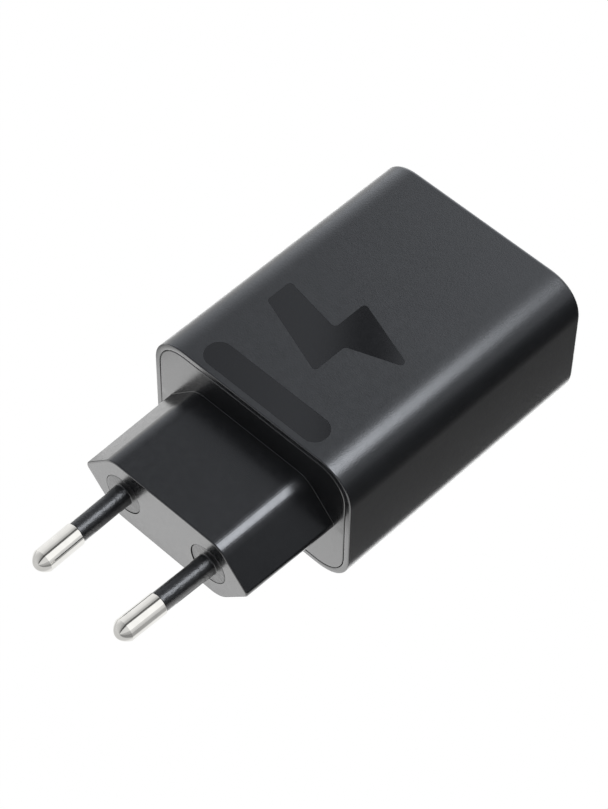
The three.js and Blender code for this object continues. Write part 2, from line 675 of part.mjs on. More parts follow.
// The output row: two polymer capacitors, the Y capacitor and the optocoupler, with the
// synchronous rectifier chip under the board.
function addOutputRow() {
  const radius = OUTPUT_CAPACITOR.diameter / 2;
  const middleY = OUTPUT_ROW_Y + radius;
  const firstX = BOARD_LEFT_X + radius;
  const secondX = firstX + OUTPUT_CAPACITOR.diameter + ROW_GAP;
  for (const [x, label] of [[firstX, "left"], [secondX, "right"]]) {
    const can = standingCan(OUTPUT_CAPACITOR, OUTPUT_CAPACITOR.height, x, middleY);
    addPiece("output_capacitor_" + label, can, metal(0xb9bcc0, 0.35));
  }

  const yCapacitorX = secondX + radius + ROW_GAP + Y_CAPACITOR.diameter / 2;
  const yCapacitorNear = middleY - Y_CAPACITOR.thickness / 2;
  addPiece("y_capacitor", discOnEdge(Y_CAPACITOR, yCapacitorX, yCapacitorNear), plastic(0x2b5fa8, 0.45));

  const optoX = BOARD_RIGHT_X - OPTOCOUPLER.width / 2;
  const optoTop = PART_BASE_Z + OPTOCOUPLER.height;
  const optoY = middleY - OPTOCOUPLER.depth / 2;
  const opto = block(OPTOCOUPLER.width, optoX, optoY, optoY + OPTOCOUPLER.depth, PART_BASE_Z, optoTop);
  addPiece("optocoupler", opto, plastic(0x161617, 0.5));
  addChipBelow("sync_rectifier_chip", SYNC_CHIP, firstX + SYNC_CHIP.width, middleY);
}

// The aluminium plate under the broad front wall, and the soft pad between it and the transformer.
function addHeatSpreader() {
  const half = cavityHalfWidthAt(BODY.wall + FIT) - FIT; // the cavity is as narrow here as at its foot
  const plate = block(2 * half, 0, POWER_ROW_Y, OUTPUT_ROW_FAR_Y, SPREADER_BASE_Z, SPREADER_TOP_Z);
  addPiece("heat_spreader", plate, metal(0xbfc2c5, 0.4));
  const near = POWER_ROW_MID_Y - CORE.depth / 2;
  const far = POWER_ROW_MID_Y + CORE.depth / 2;
  const padBase = THERMAL_PAD_TOP_Z - THERMAL_PAD_THICKNESS;
  const left = TRANSFORMER_X - CORE.width / 2;
  const right = Math.min(TRANSFORMER_X + CORE.width / 2, half);
  const pad = block(right - left, (left + right) / 2, near, far, padBase, THERMAL_PAD_TOP_Z);
  addPiece("thermal_pad", pad, plastic(0x9aa7b5, 0.8));
}

// ---------------------------------------------------------------- USB board and ports

function usbAOutline(growth) {
  return roundedRectangle(
    USB_A.width + 2 * growth,
    USB_A.height + 2 * growth,
    USB_A.cornerRadius + growth,
  );
}

function usbCOutline(growth) {
  const height = USB_C.height + 2 * growth;
  return roundedRectangle(USB_C.width + 2 * growth, height, height / 2);
}

function addUsbBoard() {
  const top = CAVITY_TOP_Z - USB_BOARD.topGap;
  const board = block(USB_BOARD.width, 0, USB_BOARD_NEAR_Y, USB_BOARD_FAR_Y, PART_BASE_Z, top);
  addPiece("usb_board", board, plastic(0x1f5a35, 0.5));
  const chipFarY = USB_BOARD_NEAR_Y - SOLDER;
  const low = MID_Z - USB_CHIP.side / 2;
  const high = MID_Z + USB_CHIP.side / 2;
  const chip = block(USB_CHIP.side, 0, chipFarY - USB_CHIP.thickness, chipFarY, low, high);
  addPiece("usb_power_chip", chip, plastic(0x18181a, 0.6));
}

// A port's metal shell, and its plastic back block with the tongue, which reaches from the block
// towards the mouth at tongueZ.
function addPort(label, outline, size, z, tongueZ) {
  const backY = USB_BOARD_FAR_Y + SOLDER;
  const opening = outline(-size.sheet);
  const shell = solid(alongY(outline(0), backY, PORT_MOUTH_Y, z)).subtract(
    solid(alongY(opening, backY - OVERSHOOT, PORT_MOUTH_Y + OVERSHOOT, z)),
  );
  addPiece(label + "_shell", geometryOf(shell), metal(0xb8babd, 0.3));
  const blockEndY = backY + USB_BACK_BLOCK;
  const back = solid(alongY(outline(-size.sheet - SOLDER), backY, blockEndY, z));
  const low = tongueZ - size.tongueThickness / 2;
  const tongue = block(
    size.tongueWidth,
    0,
    blockEndY - USB_BACK_BLOCK / 2,
    blockEndY + size.tongueLength,
    low,
    low + size.tongueThickness,
  );
  addPiece(label + "_tongue", geometryOf(back.add(solid(tongue))), plastic(0x1a1a1c, 0.5));
  return blockEndY;
}

function addPorts() {
  const tongueTop = USB_A_Z + USB_A.height / 2 - USB_A.sheet - USB_A.tongueTopGap;
  const tongueZ = tongueTop - USB_A.tongueThickness / 2;
  const blockEndY = addPort("usb_a", usbAOutline, USB_A, USB_A_Z, tongueZ);
  addPort("usb_c", usbCOutline, USB_C, USB_C_Z, USB_C_Z);
  const contactTop = tongueTop - USB_A.tongueThickness - SOLDER;
  const contactY = blockEndY + SOLDER;
  for (let i = 0; i < USB_A.contactCount; i += 1) {
    const x = (i - (USB_A.contactCount - 1) / 2) * USB_A.contactPitch;
    const contact = block(
      USB_A.contactWidth,
      x,
      contactY,
      contactY + USB_A.contactLength,
      contactTop - USB_A.contactThickness,
      contactTop,
    );
    addPiece("usb_a_contact_" + (i + 1), contact, metal(0xd2a94e, 0.25));
  }
}

// ---------------------------------------------------------------- the whole charger

addHousing();
addFrontCap();
addPins();
addMainsContacts();
addMainBoard();
addInputRow();
addPowerRow();
addOutputRow();
addHeatSpreader();
addUsbBoard();
addPorts();

export default charger;
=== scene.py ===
import json
import math

import bmesh
import bpy
from mathutils import Matrix, Vector

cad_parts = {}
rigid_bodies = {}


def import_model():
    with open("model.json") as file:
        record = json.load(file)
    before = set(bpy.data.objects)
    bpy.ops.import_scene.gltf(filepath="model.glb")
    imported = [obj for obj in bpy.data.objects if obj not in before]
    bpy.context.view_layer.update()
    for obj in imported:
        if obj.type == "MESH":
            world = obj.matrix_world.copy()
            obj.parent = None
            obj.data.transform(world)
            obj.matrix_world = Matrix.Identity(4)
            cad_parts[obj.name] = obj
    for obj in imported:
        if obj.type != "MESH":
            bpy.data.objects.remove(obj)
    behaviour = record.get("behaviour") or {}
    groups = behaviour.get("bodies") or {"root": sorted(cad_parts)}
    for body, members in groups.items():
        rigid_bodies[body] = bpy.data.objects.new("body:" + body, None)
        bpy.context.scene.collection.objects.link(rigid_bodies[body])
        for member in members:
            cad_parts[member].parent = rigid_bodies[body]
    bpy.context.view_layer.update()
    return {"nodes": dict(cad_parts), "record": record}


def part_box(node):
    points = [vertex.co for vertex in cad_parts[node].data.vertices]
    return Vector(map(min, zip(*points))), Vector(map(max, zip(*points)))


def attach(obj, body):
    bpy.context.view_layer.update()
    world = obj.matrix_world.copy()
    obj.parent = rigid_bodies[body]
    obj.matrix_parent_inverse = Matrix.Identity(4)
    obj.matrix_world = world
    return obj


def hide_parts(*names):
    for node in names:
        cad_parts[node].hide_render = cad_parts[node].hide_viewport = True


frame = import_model()

MM = 0.001

# ---------------------------------------------------------------- sizes, in millimetres

BODY_CORNER = 6.95
BODY_CORNER_POWER = 2.2  # 2 is a round corner; this one is slightly squarer
BODY_WALL = 2.0
END_WALL = 2.2
RIM_WIDTH = 1.1
RIM_ROUNDING = 0.2
FAR_EDGE_ROUNDING = 0.8

SEAM = 0.06
PLATE_SHIFT = -0.03  # the plate sits this far off the middle, so its gap is wider on the right
CAP_PLATE = 2.0
CAP_ROUNDING = 0.16
CAP_SKIRT_WALL = 1.2
CAP_SKIRT_GAP = 0.3

PLUG_WIDTH = 35.8
PLUG_THICKNESS = 13.3
PLUG_FLAT_WIDTH = 23.4
PLUG_LENGTH = 18.6
PLUG_EDGE_RADIUS = 4.4
PLUG_DRAFT = 0.35  # how much wider each side is where the plug meets the plate
PLUG_SIDE_RADIUS = 0.9
PLUG_FACE_ROUNDING = 0.3
PLUG_LEAST_RADIUS = 0.2
PLUG_ROOT_FILLET = 0.07
PLUG_WALL = 1.7
PLUG_FRONT_WALL = 4.0

PIN_LENGTH = 18.8
PIN_DIAMETER = 4.0
PIN_BASE_SPACING = 18.54
PIN_TIP_SPACING = 17.74
PIN_DOME = 1.65
PIN_DOME_START = math.radians(40)  # how far round its ellipse the dome starts, which leaves a crisp edge
PIN_DOME_STEPS = 18
PIN_NECK = 2.6
PIN_TAIL = 4.0
PIN_EDGE = 0.12  # rounding of the pins' shoulders, the sleeves' ends and the collars
SLEEVE_LENGTH = 10.2
SLEEVE_DIAMETER = 3.6
SLEEVE_ROOT_DIAMETER = 3.72
SLEEVE_ROOT_LENGTH = 2.0
SLEEVE_ROOT_TAPER = 0.25
SLEEVE_ROOT_FILLET = 0.2
SLEEVE_END_GAP = 0.02
SLEEVE_BORE_GAP = 0.08
COLLAR_DIAMETER = 7.3
COLLAR_DEPTH = 1.2
COLLAR_RECESS = 0.04
COLLAR_GROOVE = 0.06
COLLAR_LAND = 0.5  # how far in from the collar's edge an extra ring of points keeps its face flat
COLLAR_SEAT_GAP = 0.1
COLLAR_BORE_GAP = 0.3

PORT_MOUTH_ROUNDING = 0.3
PORT_CLEARANCE = 0.3
PORT_CUT_PAST = 0.1
USB_A_CORNER = 0.7
PORT_SHEETS = {"usb_a": 0.3, "usb_c": 0.28}
TONGUE_EDGE = 0.12
CONTACT_EDGE = 0.06

CUT_PAST = 1.0  # how far a cutter reaches past what it cuts
ROUND_END_MARGIN = 0.001  # keeps a fully round end from having a side of no length

# ---------------------------------------------------------------- places, from the frame

housing_low, housing_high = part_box("housing_shell")
cap_low, cap_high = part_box("front_cap")
shell_boxes = {"usb_a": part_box("usb_a_shell"), "usb_c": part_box("usb_c_shell")}
slots = {row["node"]: row["material_slot"] for row in frame["record"]["subparts"]}

BODY_WIDTH = (housing_high[0] - housing_low[0]) / MM
BODY_THICKNESS = (housing_high[2] - housing_low[2]) / MM
BODY_FRONT_Y = housing_low[1] / MM
BODY_FAR_Y = housing_high[1] / MM
PLUG_FACE_Y = cap_low[1] / MM
SKIRT_END_Y = cap_high[1] / MM
CAP_BACK_Y = BODY_FRONT_Y + CAP_PLATE
MID_Z = (housing_low[2] + housing_high[2]) / 2 / MM
TOP_Z = housing_high[2] / MM


def shell_size(label):
    """A port shell's width, height and middle height, in millimetres."""
    low, high = shell_boxes[label]
    width = (high[0] - low[0]) / MM
    height = (high[2] - low[2]) / MM
    middle = (high[2] + low[2]) / 2 / MM
    return width, height, middle


PORT_CORNERS = {"usb_a": USB_A_CORNER, "usb_c": shell_size("usb_c")[1] / 2 - ROUND_END_MARGIN}

# ---------------------------------------------------------------- camera

CAMERA_TARGET = Vector((-1.634, 5.698, 13.672)) * MM
CAMERA_DISTANCE = 463.1 * MM
CAMERA_AZIMUTH = math.radians(43.51)
CAMERA_ELEVATION = math.radians(52.32)
CAMERA_ROLL = math.radians(0.9)
CAMERA_LENS = 130.51
CAMERA_SENSOR = 36
CAMERA_NEAREST = 0.01
CAMERA_FARTHEST = 20


def add_camera():
    flat = math.cos(CAMERA_ELEVATION)
    back = Vector(
        (
            flat * math.sin(CAMERA_AZIMUTH),
            -flat * math.cos(CAMERA_AZIMUTH),
            math.sin(CAMERA_ELEVATION),
        )
    )
    level = Vector((0, 0, 1)).cross(back).normalized()
    upright = back.cross(level)
    right = level * math.cos(CAMERA_ROLL) + upright * math.sin(CAMERA_ROLL)
    up = upright * math.cos(CAMERA_ROLL) - level * math.sin(CAMERA_ROLL)
    data = bpy.data.cameras.new("camera")
    data.lens = CAMERA_LENS
    data.sensor_width = CAMERA_SENSOR
    data.clip_start = CAMERA_NEAREST
    data.clip_end = CAMERA_FARTHEST
    camera = bpy.data.objects.new("camera", data)
    place = Matrix.Translation(CAMERA_TARGET + back * CAMERA_DISTANCE)
    turn = Matrix((right, up, back)).transposed().to_4x4()
    camera.matrix_world = place @ turn
    bpy.context.scene.collection.objects.link(camera)
    bpy.context.scene.camera = camera


# ---------------------------------------------------------------- outlines, in x and z about the middle


def rounded_rectangle(width, height, radius, power=2.0, steps=18):
    """Corner points anticlockwise from the right side; a power over 2 makes squarer corners."""
    points = []
    for corner in range(4):
        turn = corner * math.pi / 2
        cx = (width / 2 - radius) * (1 if corner in (0, 3) else -1)
        cz = (height / 2 - radius) * (1 if corner in (0, 1) else -1)
        for step in range(steps + 1):
            angle = step / steps * math.pi / 2
            x = radius * math.cos(angle) ** (2 / power)
            z = radius * math.sin(angle) ** (2 / power)
            if step == steps:
                x = 0.0
            points.append(
                (
                    cx + x * math.cos(turn) - z * math.sin(turn),
                    cz + x * math.sin(turn) + z * math.cos(turn),
                )
            )
    return points


def body_outline(inset):
    return rounded_rectangle(
        BODY_WIDTH - 2 * inset,
        BODY_THICKNESS - 2 * inset,
        BODY_CORNER - inset,
        BODY_CORNER_POWER,
    )


def plug_outline(growth, arc_steps=12):
    """The plug's six-sided section with its rounded edges, grown outwards or, if negative, inwards."""
    half = PLUG_WIDTH / 2
    flat = PLUG_FLAT_WIDTH / 2
    high = PLUG_THICKNESS / 2
    slope = (half - flat) / high
    reach = half + growth * math.hypot(half - flat, high) / high
    level = high + growth
    shoulder = reach - slope * level
    corners = [
        (reach, 0, PLUG_SIDE_RADIUS),
        (shoulder, level, PLUG_EDGE_RADIUS),
        (-shoulder, level, PLUG_EDGE_RADIUS),
        (-reach, 0, PLUG_SIDE_RADIUS),
        (-shoulder, -level, PLUG_EDGE_RADIUS),
        (shoulder, -level, PLUG_EDGE_RADIUS),
    ]
    points = []
    for i, (x, z, radius) in enumerate(corners):
        corner = Vector((x, z))
        before = Vector(corners[i - 1][:2])
        after = Vector(corners[(i + 1) % len(corners)][:2])
        incoming = (corner - before).normalized()
        outgoing = (after - corner).normalized()
        turn = math.acos(max(-1, min(1, incoming.dot(outgoing))))
        radius = max(radius + growth, PLUG_LEAST_RADIUS)
        start = corner - incoming * radius * math.tan(turn / 2)
        centre = start + Vector((-incoming.y, incoming.x)) * radius
        first = math.atan2(start.y - centre.y, start.x - centre.x)
        for step in range(arc_steps + 1):
            angle = first + turn * step / arc_steps
            points.append((centre.x + radius * math.cos(angle), centre.y + radius * math.sin(angle)))
    return points


def polar(point):
    return math.atan2(point[1], point[0]) % (2 * math.pi)


SIDE_TOLERANCE = 1e-9
LENGTH_TOLERANCE = 1e-12


def crossing(outline, angle):
    """Where the ray from the middle at this angle crosses an outline, which it does once."""
    direction = Vector((math.cos(angle), math.sin(angle)))
    side = Vector((-direction.y, direction.x))
    for i, corner in enumerate(outline):
        a = Vector(corner)
        b = Vector(outline[(i + 1) % len(outline)])
        da = a.dot(side)
        db = b.dot(side)
        if da <= SIDE_TOLERANCE and db >= -SIDE_TOLERANCE and db - da > LENGTH_TOLERANCE:
            point = a + (b - a) * (-da / (db - da))
            if point.dot(direction) > 0:
                return point.x, point.y


def at_angles(outline, angles):
    """An outline's crossings at these angles, so that every loop of a loft has as many points."""
    return [crossing(outline, angle) for angle in angles]


# ---------------------------------------------------------------- mesh makers

AXIS_TOLERANCE = 1e-6
MERGE_DISTANCE = 1e-7
SHARP_ANGLE = 38
NORMAL_WEIGHT = 80


def make_object(name, mesh):
    made = bpy.data.objects.new(name, mesh)
    bpy.context.scene.collection.objects.link(made)
    return made


def object_from(name, work):
    """An object of what a bmesh holds, which is then freed."""
    mesh = bpy.data.meshes.new(name)
    work.to_mesh(mesh)
    work.free()
    return make_object(name, mesh)


def loft(name, loops, close_ends=True):
    """A skin through loops of equally many points, each a list of Vectors in millimetres."""
    work = bmesh.new()
    rings = [[work.verts.new(point * MM) for point in loop] for loop in loops]
    count = len(loops[0])
    for near, far in zip(rings, rings[1:]):
        for i in range(count):
            j = (i + 1) % count
            work.faces.new((near[i], near[j], far[j], far[i]))
    if close_ends:
        work.faces.new(list(reversed(rings[0])))
        work.faces.new(rings[-1])
    bmesh.ops.recalc_face_normals(work, faces=work.faces)
    return object_from(name, work)


def ring_at(outline, y, middle_z):
    return [Vector((x, y, middle_z + z)) for x, z in outline]


def lathe(name, profile, sides=96):
    """A solid of revolution about y from (radius, y) points, which end on the axis or close as a ring."""
    work = bmesh.new()
    rings = []
    for radius, y in profile:
        if radius < AXIS_TOLERANCE:
            rings.append([work.verts.new(Vector((0, y, 0)) * MM)])
            continue
        ring = []
        for i in range(sides):
            angle = 2 * math.pi * i / sides
            point = Vector((radius * math.cos(angle), y, radius * math.sin(angle)))
            ring.append(work.verts.new(point * MM))
        rings.append(ring)
    pairs = list(zip(rings, rings[1:]))
    if len(rings[0]) > 1:
        pairs.append((rings[-1], rings[0]))
    for near, far in pairs:
        for i in range(sides):
            j = (i + 1) % sides
            if len(near) == 1:
                work.faces.new((near[0], far[j], far[i]))
            elif len(far) == 1:
                work.faces.new((near[i], near[j], far[0]))
            else:
                work.faces.new((near[i], near[j], far[j], far[i]))
    bmesh.ops.recalc_face_normals(work, faces=work.faces)
    return object_from(name, work)


def quarter(start, end, steps=6, across_first=False):
    """Points along a quarter of an ellipse from start to end, setting off along y or, if asked, across."""
    (x0, y0), (x1, y1) = start, end
    points = []
    for step in range(steps + 1):
        angle = step / steps * math.pi / 2
        if across_first:
            u, v = math.sin(angle), 1 - math.cos(angle)
        else:
            u, v = 1 - math.cos(angle), math.sin(angle)
        points.append((x0 + (x1 - x0) * u, y0 + (y1 - y0) * v))
    return points


def cut(target, cutter):
    """Takes the cutter out of the target and removes the cutter."""
    modifier = target.modifiers.new("cut", "BOOLEAN")
    modifier.operation = "DIFFERENCE"
    modifier.solver = "EXACT"
    modifier.object = cutter
    depsgraph = bpy.context.evaluated_depsgraph_get()
    mesh = bpy.data.meshes.new_from_object(target.evaluated_get(depsgraph))
    target.modifiers.clear()
    old = target.data
    target.data = mesh
    bpy.data.meshes.remove(old)
    bpy.data.objects.remove(cutter)


def finish_piece(piece, material, slot, *nodes, sharp=SHARP_ANGLE, body="root"):
    """Smooths a piece, keeps its sharp edges, gives it its material and ties it to the frame."""
    work = bmesh.new()
    work.from_mesh(piece.data)
    bmesh.ops.remove_doubles(work, verts=work.verts, dist=MERGE_DISTANCE)
    for face in work.faces:
        face.smooth = True
    for edge in work.edges:
        if len(edge.link_faces) == 2:
            edge.smooth = edge.calc_face_angle(0) < math.radians(sharp)
    work.to_mesh(piece.data)
    work.free()
    weighted = piece.modifiers.new("weighted_normal", "WEIGHTED_NORMAL")
    weighted.keep_sharp = True
    weighted.weight = NORMAL_WEIGHT
    piece.data.materials.clear()
    piece.data.materials.append(material)
    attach(piece, body)
    if nodes:
        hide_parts(*nodes)


# ---------------------------------------------------------------- materials

HOUSING_COLOUR = (0.0062, 0.0064, 0.0068)
HOUSING_ROUGHNESS = 0.3
HOUSING_MOTTLE = 0.1
HOUSING_UNEVEN = 0.025
HOUSING_GRAIN = 0.26
HOUSING_GRAIN_DEPTH = 0.02
RIM_ROUGHNESS = 0.24
RIM_END = 0.1  # the grain sets in from here behind the front ...
GRAIN_START = 0.3  # ... and is complete here

MOTTLE_SIZE = 9.0
SHEEN_SIZE = 1.1
WAVE_SIZE = 14.0
WAVE_DEPTH = 0.02
WAVE_STRENGTH = 0.4
METAL_PATCH_SIZE = 1.6
METAL_DARKEST = 0.94
METAL_LIGHTEST = 1.03
METAL_UNEVEN = 0.3
WEAVE_SIZE = 0.5
WEAVE_DEPTH = 0.02
WEAVE_SHEEN = (0.28, 0.42)
TRACK_SPACING = 2.2
TRACK_EDGE = (0.04, 0.09)
WIRE_DEPTH = 0.12
# how dark the painted shade in the grooves between wound rows is
WINDING_GROOVE_SHADE = 0.55
WIRE_DISTORTION = 0.4
WIRE_PATCH_SIZE = 0.8
WIRE_SHEEN = (0.25, 0.4)


def scaled(colour, factor):
    return tuple(channel * factor for channel in colour)


class Nodes:
    """Short names for the node types that the materials use."""

    def __init__(self, name):
        self.material = bpy.data.materials.new(name)
        self.material.use_nodes = True
        self.tree = self.material.node_tree
        self.shader = self.tree.nodes["Principled BSDF"]
        self.place = self.tree.nodes.new("ShaderNodeTexCoord").outputs["Object"]

    def link(self, source, target):
        self.tree.links.new(source, target)

    def feed(self, value, socket):
        """Gives a socket a plain number or another node's output."""
        if isinstance(value, (int, float)):
            socket.default_value = value
        else:
            self.link(value, socket)

    def stretched(self, scale):
        mapping = self.tree.nodes.new("ShaderNodeMapping")
        mapping.inputs["Scale"].default_value = scale
        self.link(self.place, mapping.inputs["Vector"])
        return mapping.outputs["Vector"]

    def noise(self, size_mm, detail=3.0, roughness=0.5, stretch=None):
        """Noise whose features are about size_mm across."""
        source = self.stretched(stretch) if stretch else self.place
        node = self.tree.nodes.new("ShaderNodeTexNoise")
        node.inputs["Scale"].default_value = 1 / (size_mm * MM)
        node.inputs["Detail"].default_value = detail
        node.inputs["Roughness"].default_value = roughness
        self.link(source, node.inputs["Vector"])
        return node.outputs["Fac"]

    def spread(self, source, low, high, start=0.3, end=0.7):
        """Maps what lies between start and end, by default the middle of a noise, to low and high."""
        node = self.tree.nodes.new("ShaderNodeMapRange")
        node.inputs["From Min"].default_value = start
        node.inputs["From Max"].default_value = end
        node.inputs["To Min"].default_value = low
        node.inputs["To Max"].default_value = high
        self.link(source, node.inputs["Value"])
        return node.outputs["Result"]

    def blend(self, factor, low, high):
        """A colour between two colours."""
        node = self.tree.nodes.new("ShaderNodeMix")
        node.data_type = "RGBA"
        self.link(factor, node.inputs["Factor"])
        node.inputs["A"].default_value = (*low, 1)
        node.inputs["B"].default_value = (*high, 1)
        return node.outputs["Result"]

    def bump(self, height, depth_mm, strength=1.0, under=None):
        node = self.tree.nodes.new("ShaderNodeBump")
        self.feed(strength, node.inputs["Strength"])
        node.inputs["Distance"].default_value = depth_mm * MM
        self.link(height, node.inputs["Height"])
        if under:
            self.link(under, node.inputs["Normal"])
        return node.outputs["Normal"]

    def set(self, **values):
        for name, value in values.items():
            self.shader.inputs[name.replace("_", " ")].default_value = value

    def colour_mottled(self, colour, mottle):
        """Gives the shader the colour, slightly darker and lighter in soft patches."""
        patches = self.spread(self.noise(MOTTLE_SIZE, detail=4.0), 0, 1)
        tint = self.blend(patches, scaled(colour, 1 - mottle), scaled(colour, 1 + mottle))
        self.link(tint, self.shader.inputs["Base Color"])

    def sheen(self, low, high):
        """A roughness that wavers between two values."""
        return self.spread(self.noise(SHEEN_SIZE), low, high)

    def surface_grained(self, grain_mm, depth_mm, strength=1.0):
        """Gives the shader a fine grain on top of a moulded face's slight waves."""
        waves = self.bump(self.noise(WAVE_SIZE, detail=1.0), WAVE_DEPTH, WAVE_STRENGTH)
        grain = self.noise(grain_mm, detail=2.0, roughness=0.6)
        fine = self.bump(grain, depth_mm, strength, waves)
        self.link(fine, self.shader.inputs["Normal"])


def moulded_plastic(name, colour, roughness, grain, depth, specular=0.5, mottle=0.12, uneven=0.03):
    """Moulded plastic: a fine spark-eroded grain, slight mottling and an uneven sheen."""
    nodes = Nodes(name)
    nodes.colour_mottled(colour, mottle)
    sheen = nodes.sheen(roughness - uneven, roughness + uneven)
    nodes.link(sheen, nodes.shader.inputs["Roughness"])
    nodes.surface_grained(grain, depth)
    nodes.set(Specular_IOR_Level=specular)
    return nodes.material


def housing_plastic():
    """Grained on the outside and smooth on the front rim, which the cap sits in."""
    nodes = Nodes("housing_plastic")
    parts = nodes.tree.nodes.new("ShaderNodeSeparateXYZ")
    nodes.link(nodes.place, parts.inputs["Vector"])
    smooth_until = (BODY_FRONT_Y + RIM_END) * MM
    grained_from = (BODY_FRONT_Y + GRAIN_START) * MM
    grained = nodes.spread(parts.outputs["Y"], 0, 1, smooth_until, grained_from)
    nodes.colour_mottled(HOUSING_COLOUR, HOUSING_MOTTLE)
    level = nodes.spread(grained, RIM_ROUGHNESS, HOUSING_ROUGHNESS, 0, 1)
    added = nodes.tree.nodes.new("ShaderNodeMath")
    nodes.link(nodes.sheen(-HOUSING_UNEVEN, HOUSING_UNEVEN), added.inputs[0])
    nodes.link(level, added.inputs[1])
    nodes.link(added.outputs["Value"], nodes.shader.inputs["Roughness"])
    nodes.surface_grained(HOUSING_GRAIN, HOUSING_GRAIN_DEPTH, grained)
    return nodes.material


def polished_metal(name, colour, roughness, lines_mm, stretch, depth_mm):
    """Plated or rolled metal: fine lines along one direction and a slightly uneven polish."""
    nodes = Nodes(name)
    patches = nodes.spread(nodes.noise(METAL_PATCH_SIZE), 0, 1)
    tint = nodes.blend(patches, scaled(colour, METAL_DARKEST), scaled(colour, METAL_LIGHTEST))
    nodes.link(tint, nodes.shader.inputs["Base Color"])
    lines = nodes.noise(lines_mm, 4.0, 0.6, stretch)
    polish = nodes.spread(lines, roughness * (1 - METAL_UNEVEN), roughness * (1 + METAL_UNEVEN))
    nodes.link(polish, nodes.shader.inputs["Roughness"])
    nodes.link(nodes.bump(lines, depth_mm), nodes.shader.inputs["Normal"])
    nodes.set(Metallic=1.0)
    return nodes.material


def laminate(name, colour, track_colour):
    """Circuit board: solder mask with fine copper tracks showing through."""
    nodes = Nodes(name)
    weave = nodes.noise(WEAVE_SIZE, detail=2.0)
    cells = nodes.tree.nodes.new("ShaderNodeTexVoronoi")
    cells.feature = "DISTANCE_TO_EDGE"
    cells.inputs["Scale"].default_value = 1 / (TRACK_SPACING * MM)
    nodes.link(nodes.place, cells.inputs["Vector"])
    tracks = nodes.spread(cells.outputs["Distance"], 1, 0, *TRACK_EDGE)
    nodes.link(nodes.blend(tracks, colour, track_colour), nodes.shader.inputs["Base Color"])
    nodes.link(nodes.spread(weave, *WEAVE_SHEEN), nodes.shader.inputs["Roughness"])
    nodes.link(nodes.bump(weave, WEAVE_DEPTH), nodes.shader.inputs["Normal"])
    return nodes.material


def wound_wire(name, colour, turn_mm, stretch):
    """Rows of enamelled wire or tape: bands across the winding, darkened towards the grooves between rows as
    painted shade.
    """
    nodes = Nodes(name)
    bands = nodes.tree.nodes.new("ShaderNodeTexWave")
    bands.inputs["Scale"].default_value = 1 / (turn_mm * MM) / (2 * math.pi)
    bands.inputs["Distortion"].default_value = WIRE_DISTORTION
    nodes.link(nodes.stretched(stretch), bands.inputs["Vector"])
    # painted shade: each band's colour darkens towards its low side, in the groove the bump makes between
    # rows
    tint = nodes.blend(bands.outputs["Fac"], scaled(colour, WINDING_GROOVE_SHADE), colour)
    nodes.link(tint, nodes.shader.inputs["Base Color"])
    sheen = nodes.spread(nodes.noise(WIRE_PATCH_SIZE), *WIRE_SHEEN)
    nodes.link(sheen, nodes.shader.inputs["Roughness"])
    nodes.link(nodes.bump(bands.outputs["Fac"], WIRE_DEPTH), nodes.shader.inputs["Normal"])
    return nodes.material


# Each row is: colour, roughness, then the size and the depth of the grain in millimetres.
PLAIN_PLASTICS = {
    "cap_plastic": ((0.0036, 0.0037, 0.004), 0.24, 0.3, 0.0008),
    "insulation_film": ((0.6, 0.55, 0.4), 0.4, 0.8, 0.01),
    "fuse_case": ((0.05, 0.025, 0.015), 0.4, 0.4, 0.01),
    "thermistor_coat": ((0.03, 0.1, 0.045), 0.5, 0.35, 0.03),
    "film_capacitor_case": ((0.6, 0.38, 0.04), 0.4, 0.3, 0.01),
    "ferrite": ((0.03, 0.03, 0.033), 0.65, 0.25, 0.03),
    "chip_plastic": ((0.012, 0.012, 0.013), 0.5, 0.2, 0.01),
    "capacitor_sleeve": ((0.012, 0.015, 0.03), 0.25, 0.9, 0.01),
    "disc_coat": ((0.02, 0.09, 0.35), 0.35, 0.6, 0.03),
    "pad_silicone": ((0.25, 0.3, 0.36), 0.75, 0.4, 0.03),
}

# Each row is: colour, roughness, width of the fine lines, their stretch in x, y and z, and their depth.
METALS = {
    "pin_metal": ((0.83, 0.82, 0.79), 0.1, 0.3, (1, 0.08, 1), 0.002),
    "shell_steel": ((0.62, 0.62, 0.63), 0.24, 0.25, (1, 0.08, 1), 0.004),
    "contact_brass": ((0.78, 0.58, 0.26), 0.22, 0.3, (1, 0.1, 1), 0.004),
    "can_aluminium": ((0.72, 0.73, 0.74), 0.3, 0.3, (1, 1, 0.1), 0.004),
    "spreader_aluminium": ((0.74, 0.75, 0.76), 0.34, 0.3, (1, 0.06, 1), 0.006),
}

GLOSS_COLOUR = (0.004, 0.004, 0.0043)
SLEEVE_COLOUR = (0.004, 0.004, 0.0042)
BOARD_COLOUR = (0.012, 0.08, 0.03)
TRACK_COLOUR = (0.03, 0.16, 0.06)
COPPER_COLOUR = (0.55, 0.2, 0.07)
TAPE_COLOUR = (0.75, 0.5, 0.05)


def make_materials():
    """One material for each slot of the record, by the slot's name, and one for the gloss marks."""
    made = {
        "housing_plastic": housing_plastic(),
        "gloss_mark": moulded_plastic(
            "gloss_mark", GLOSS_COLOUR, roughness=0.11, grain=0.9, depth=0.0002, mottle=0.05, uneven=0.005
        ),
        "sleeve_plastic": moulded_plastic(
            "sleeve_plastic", SLEEVE_COLOUR, roughness=0.33, grain=0.5, depth=0.06, specular=0.42
        ),
        "board_laminate": laminate("board_laminate", BOARD_COLOUR, TRACK_COLOUR),
        "winding_copper": wound_wire("winding_copper", COPPER_COLOUR, turn_mm=0.5, stretch=(1, 1, 1)),
        "winding_tape": wound_wire("winding_tape", TAPE_COLOUR, turn_mm=4.0, stretch=(0.2, 0.2, 1)),
    }
    for name, values in PLAIN_PLASTICS.items():
        made[name] = moulded_plastic(name, *values)
    for name, values in METALS.items():
        made[name] = polished_metal(name, *values)
    return made


# ---------------------------------------------------------------- casing


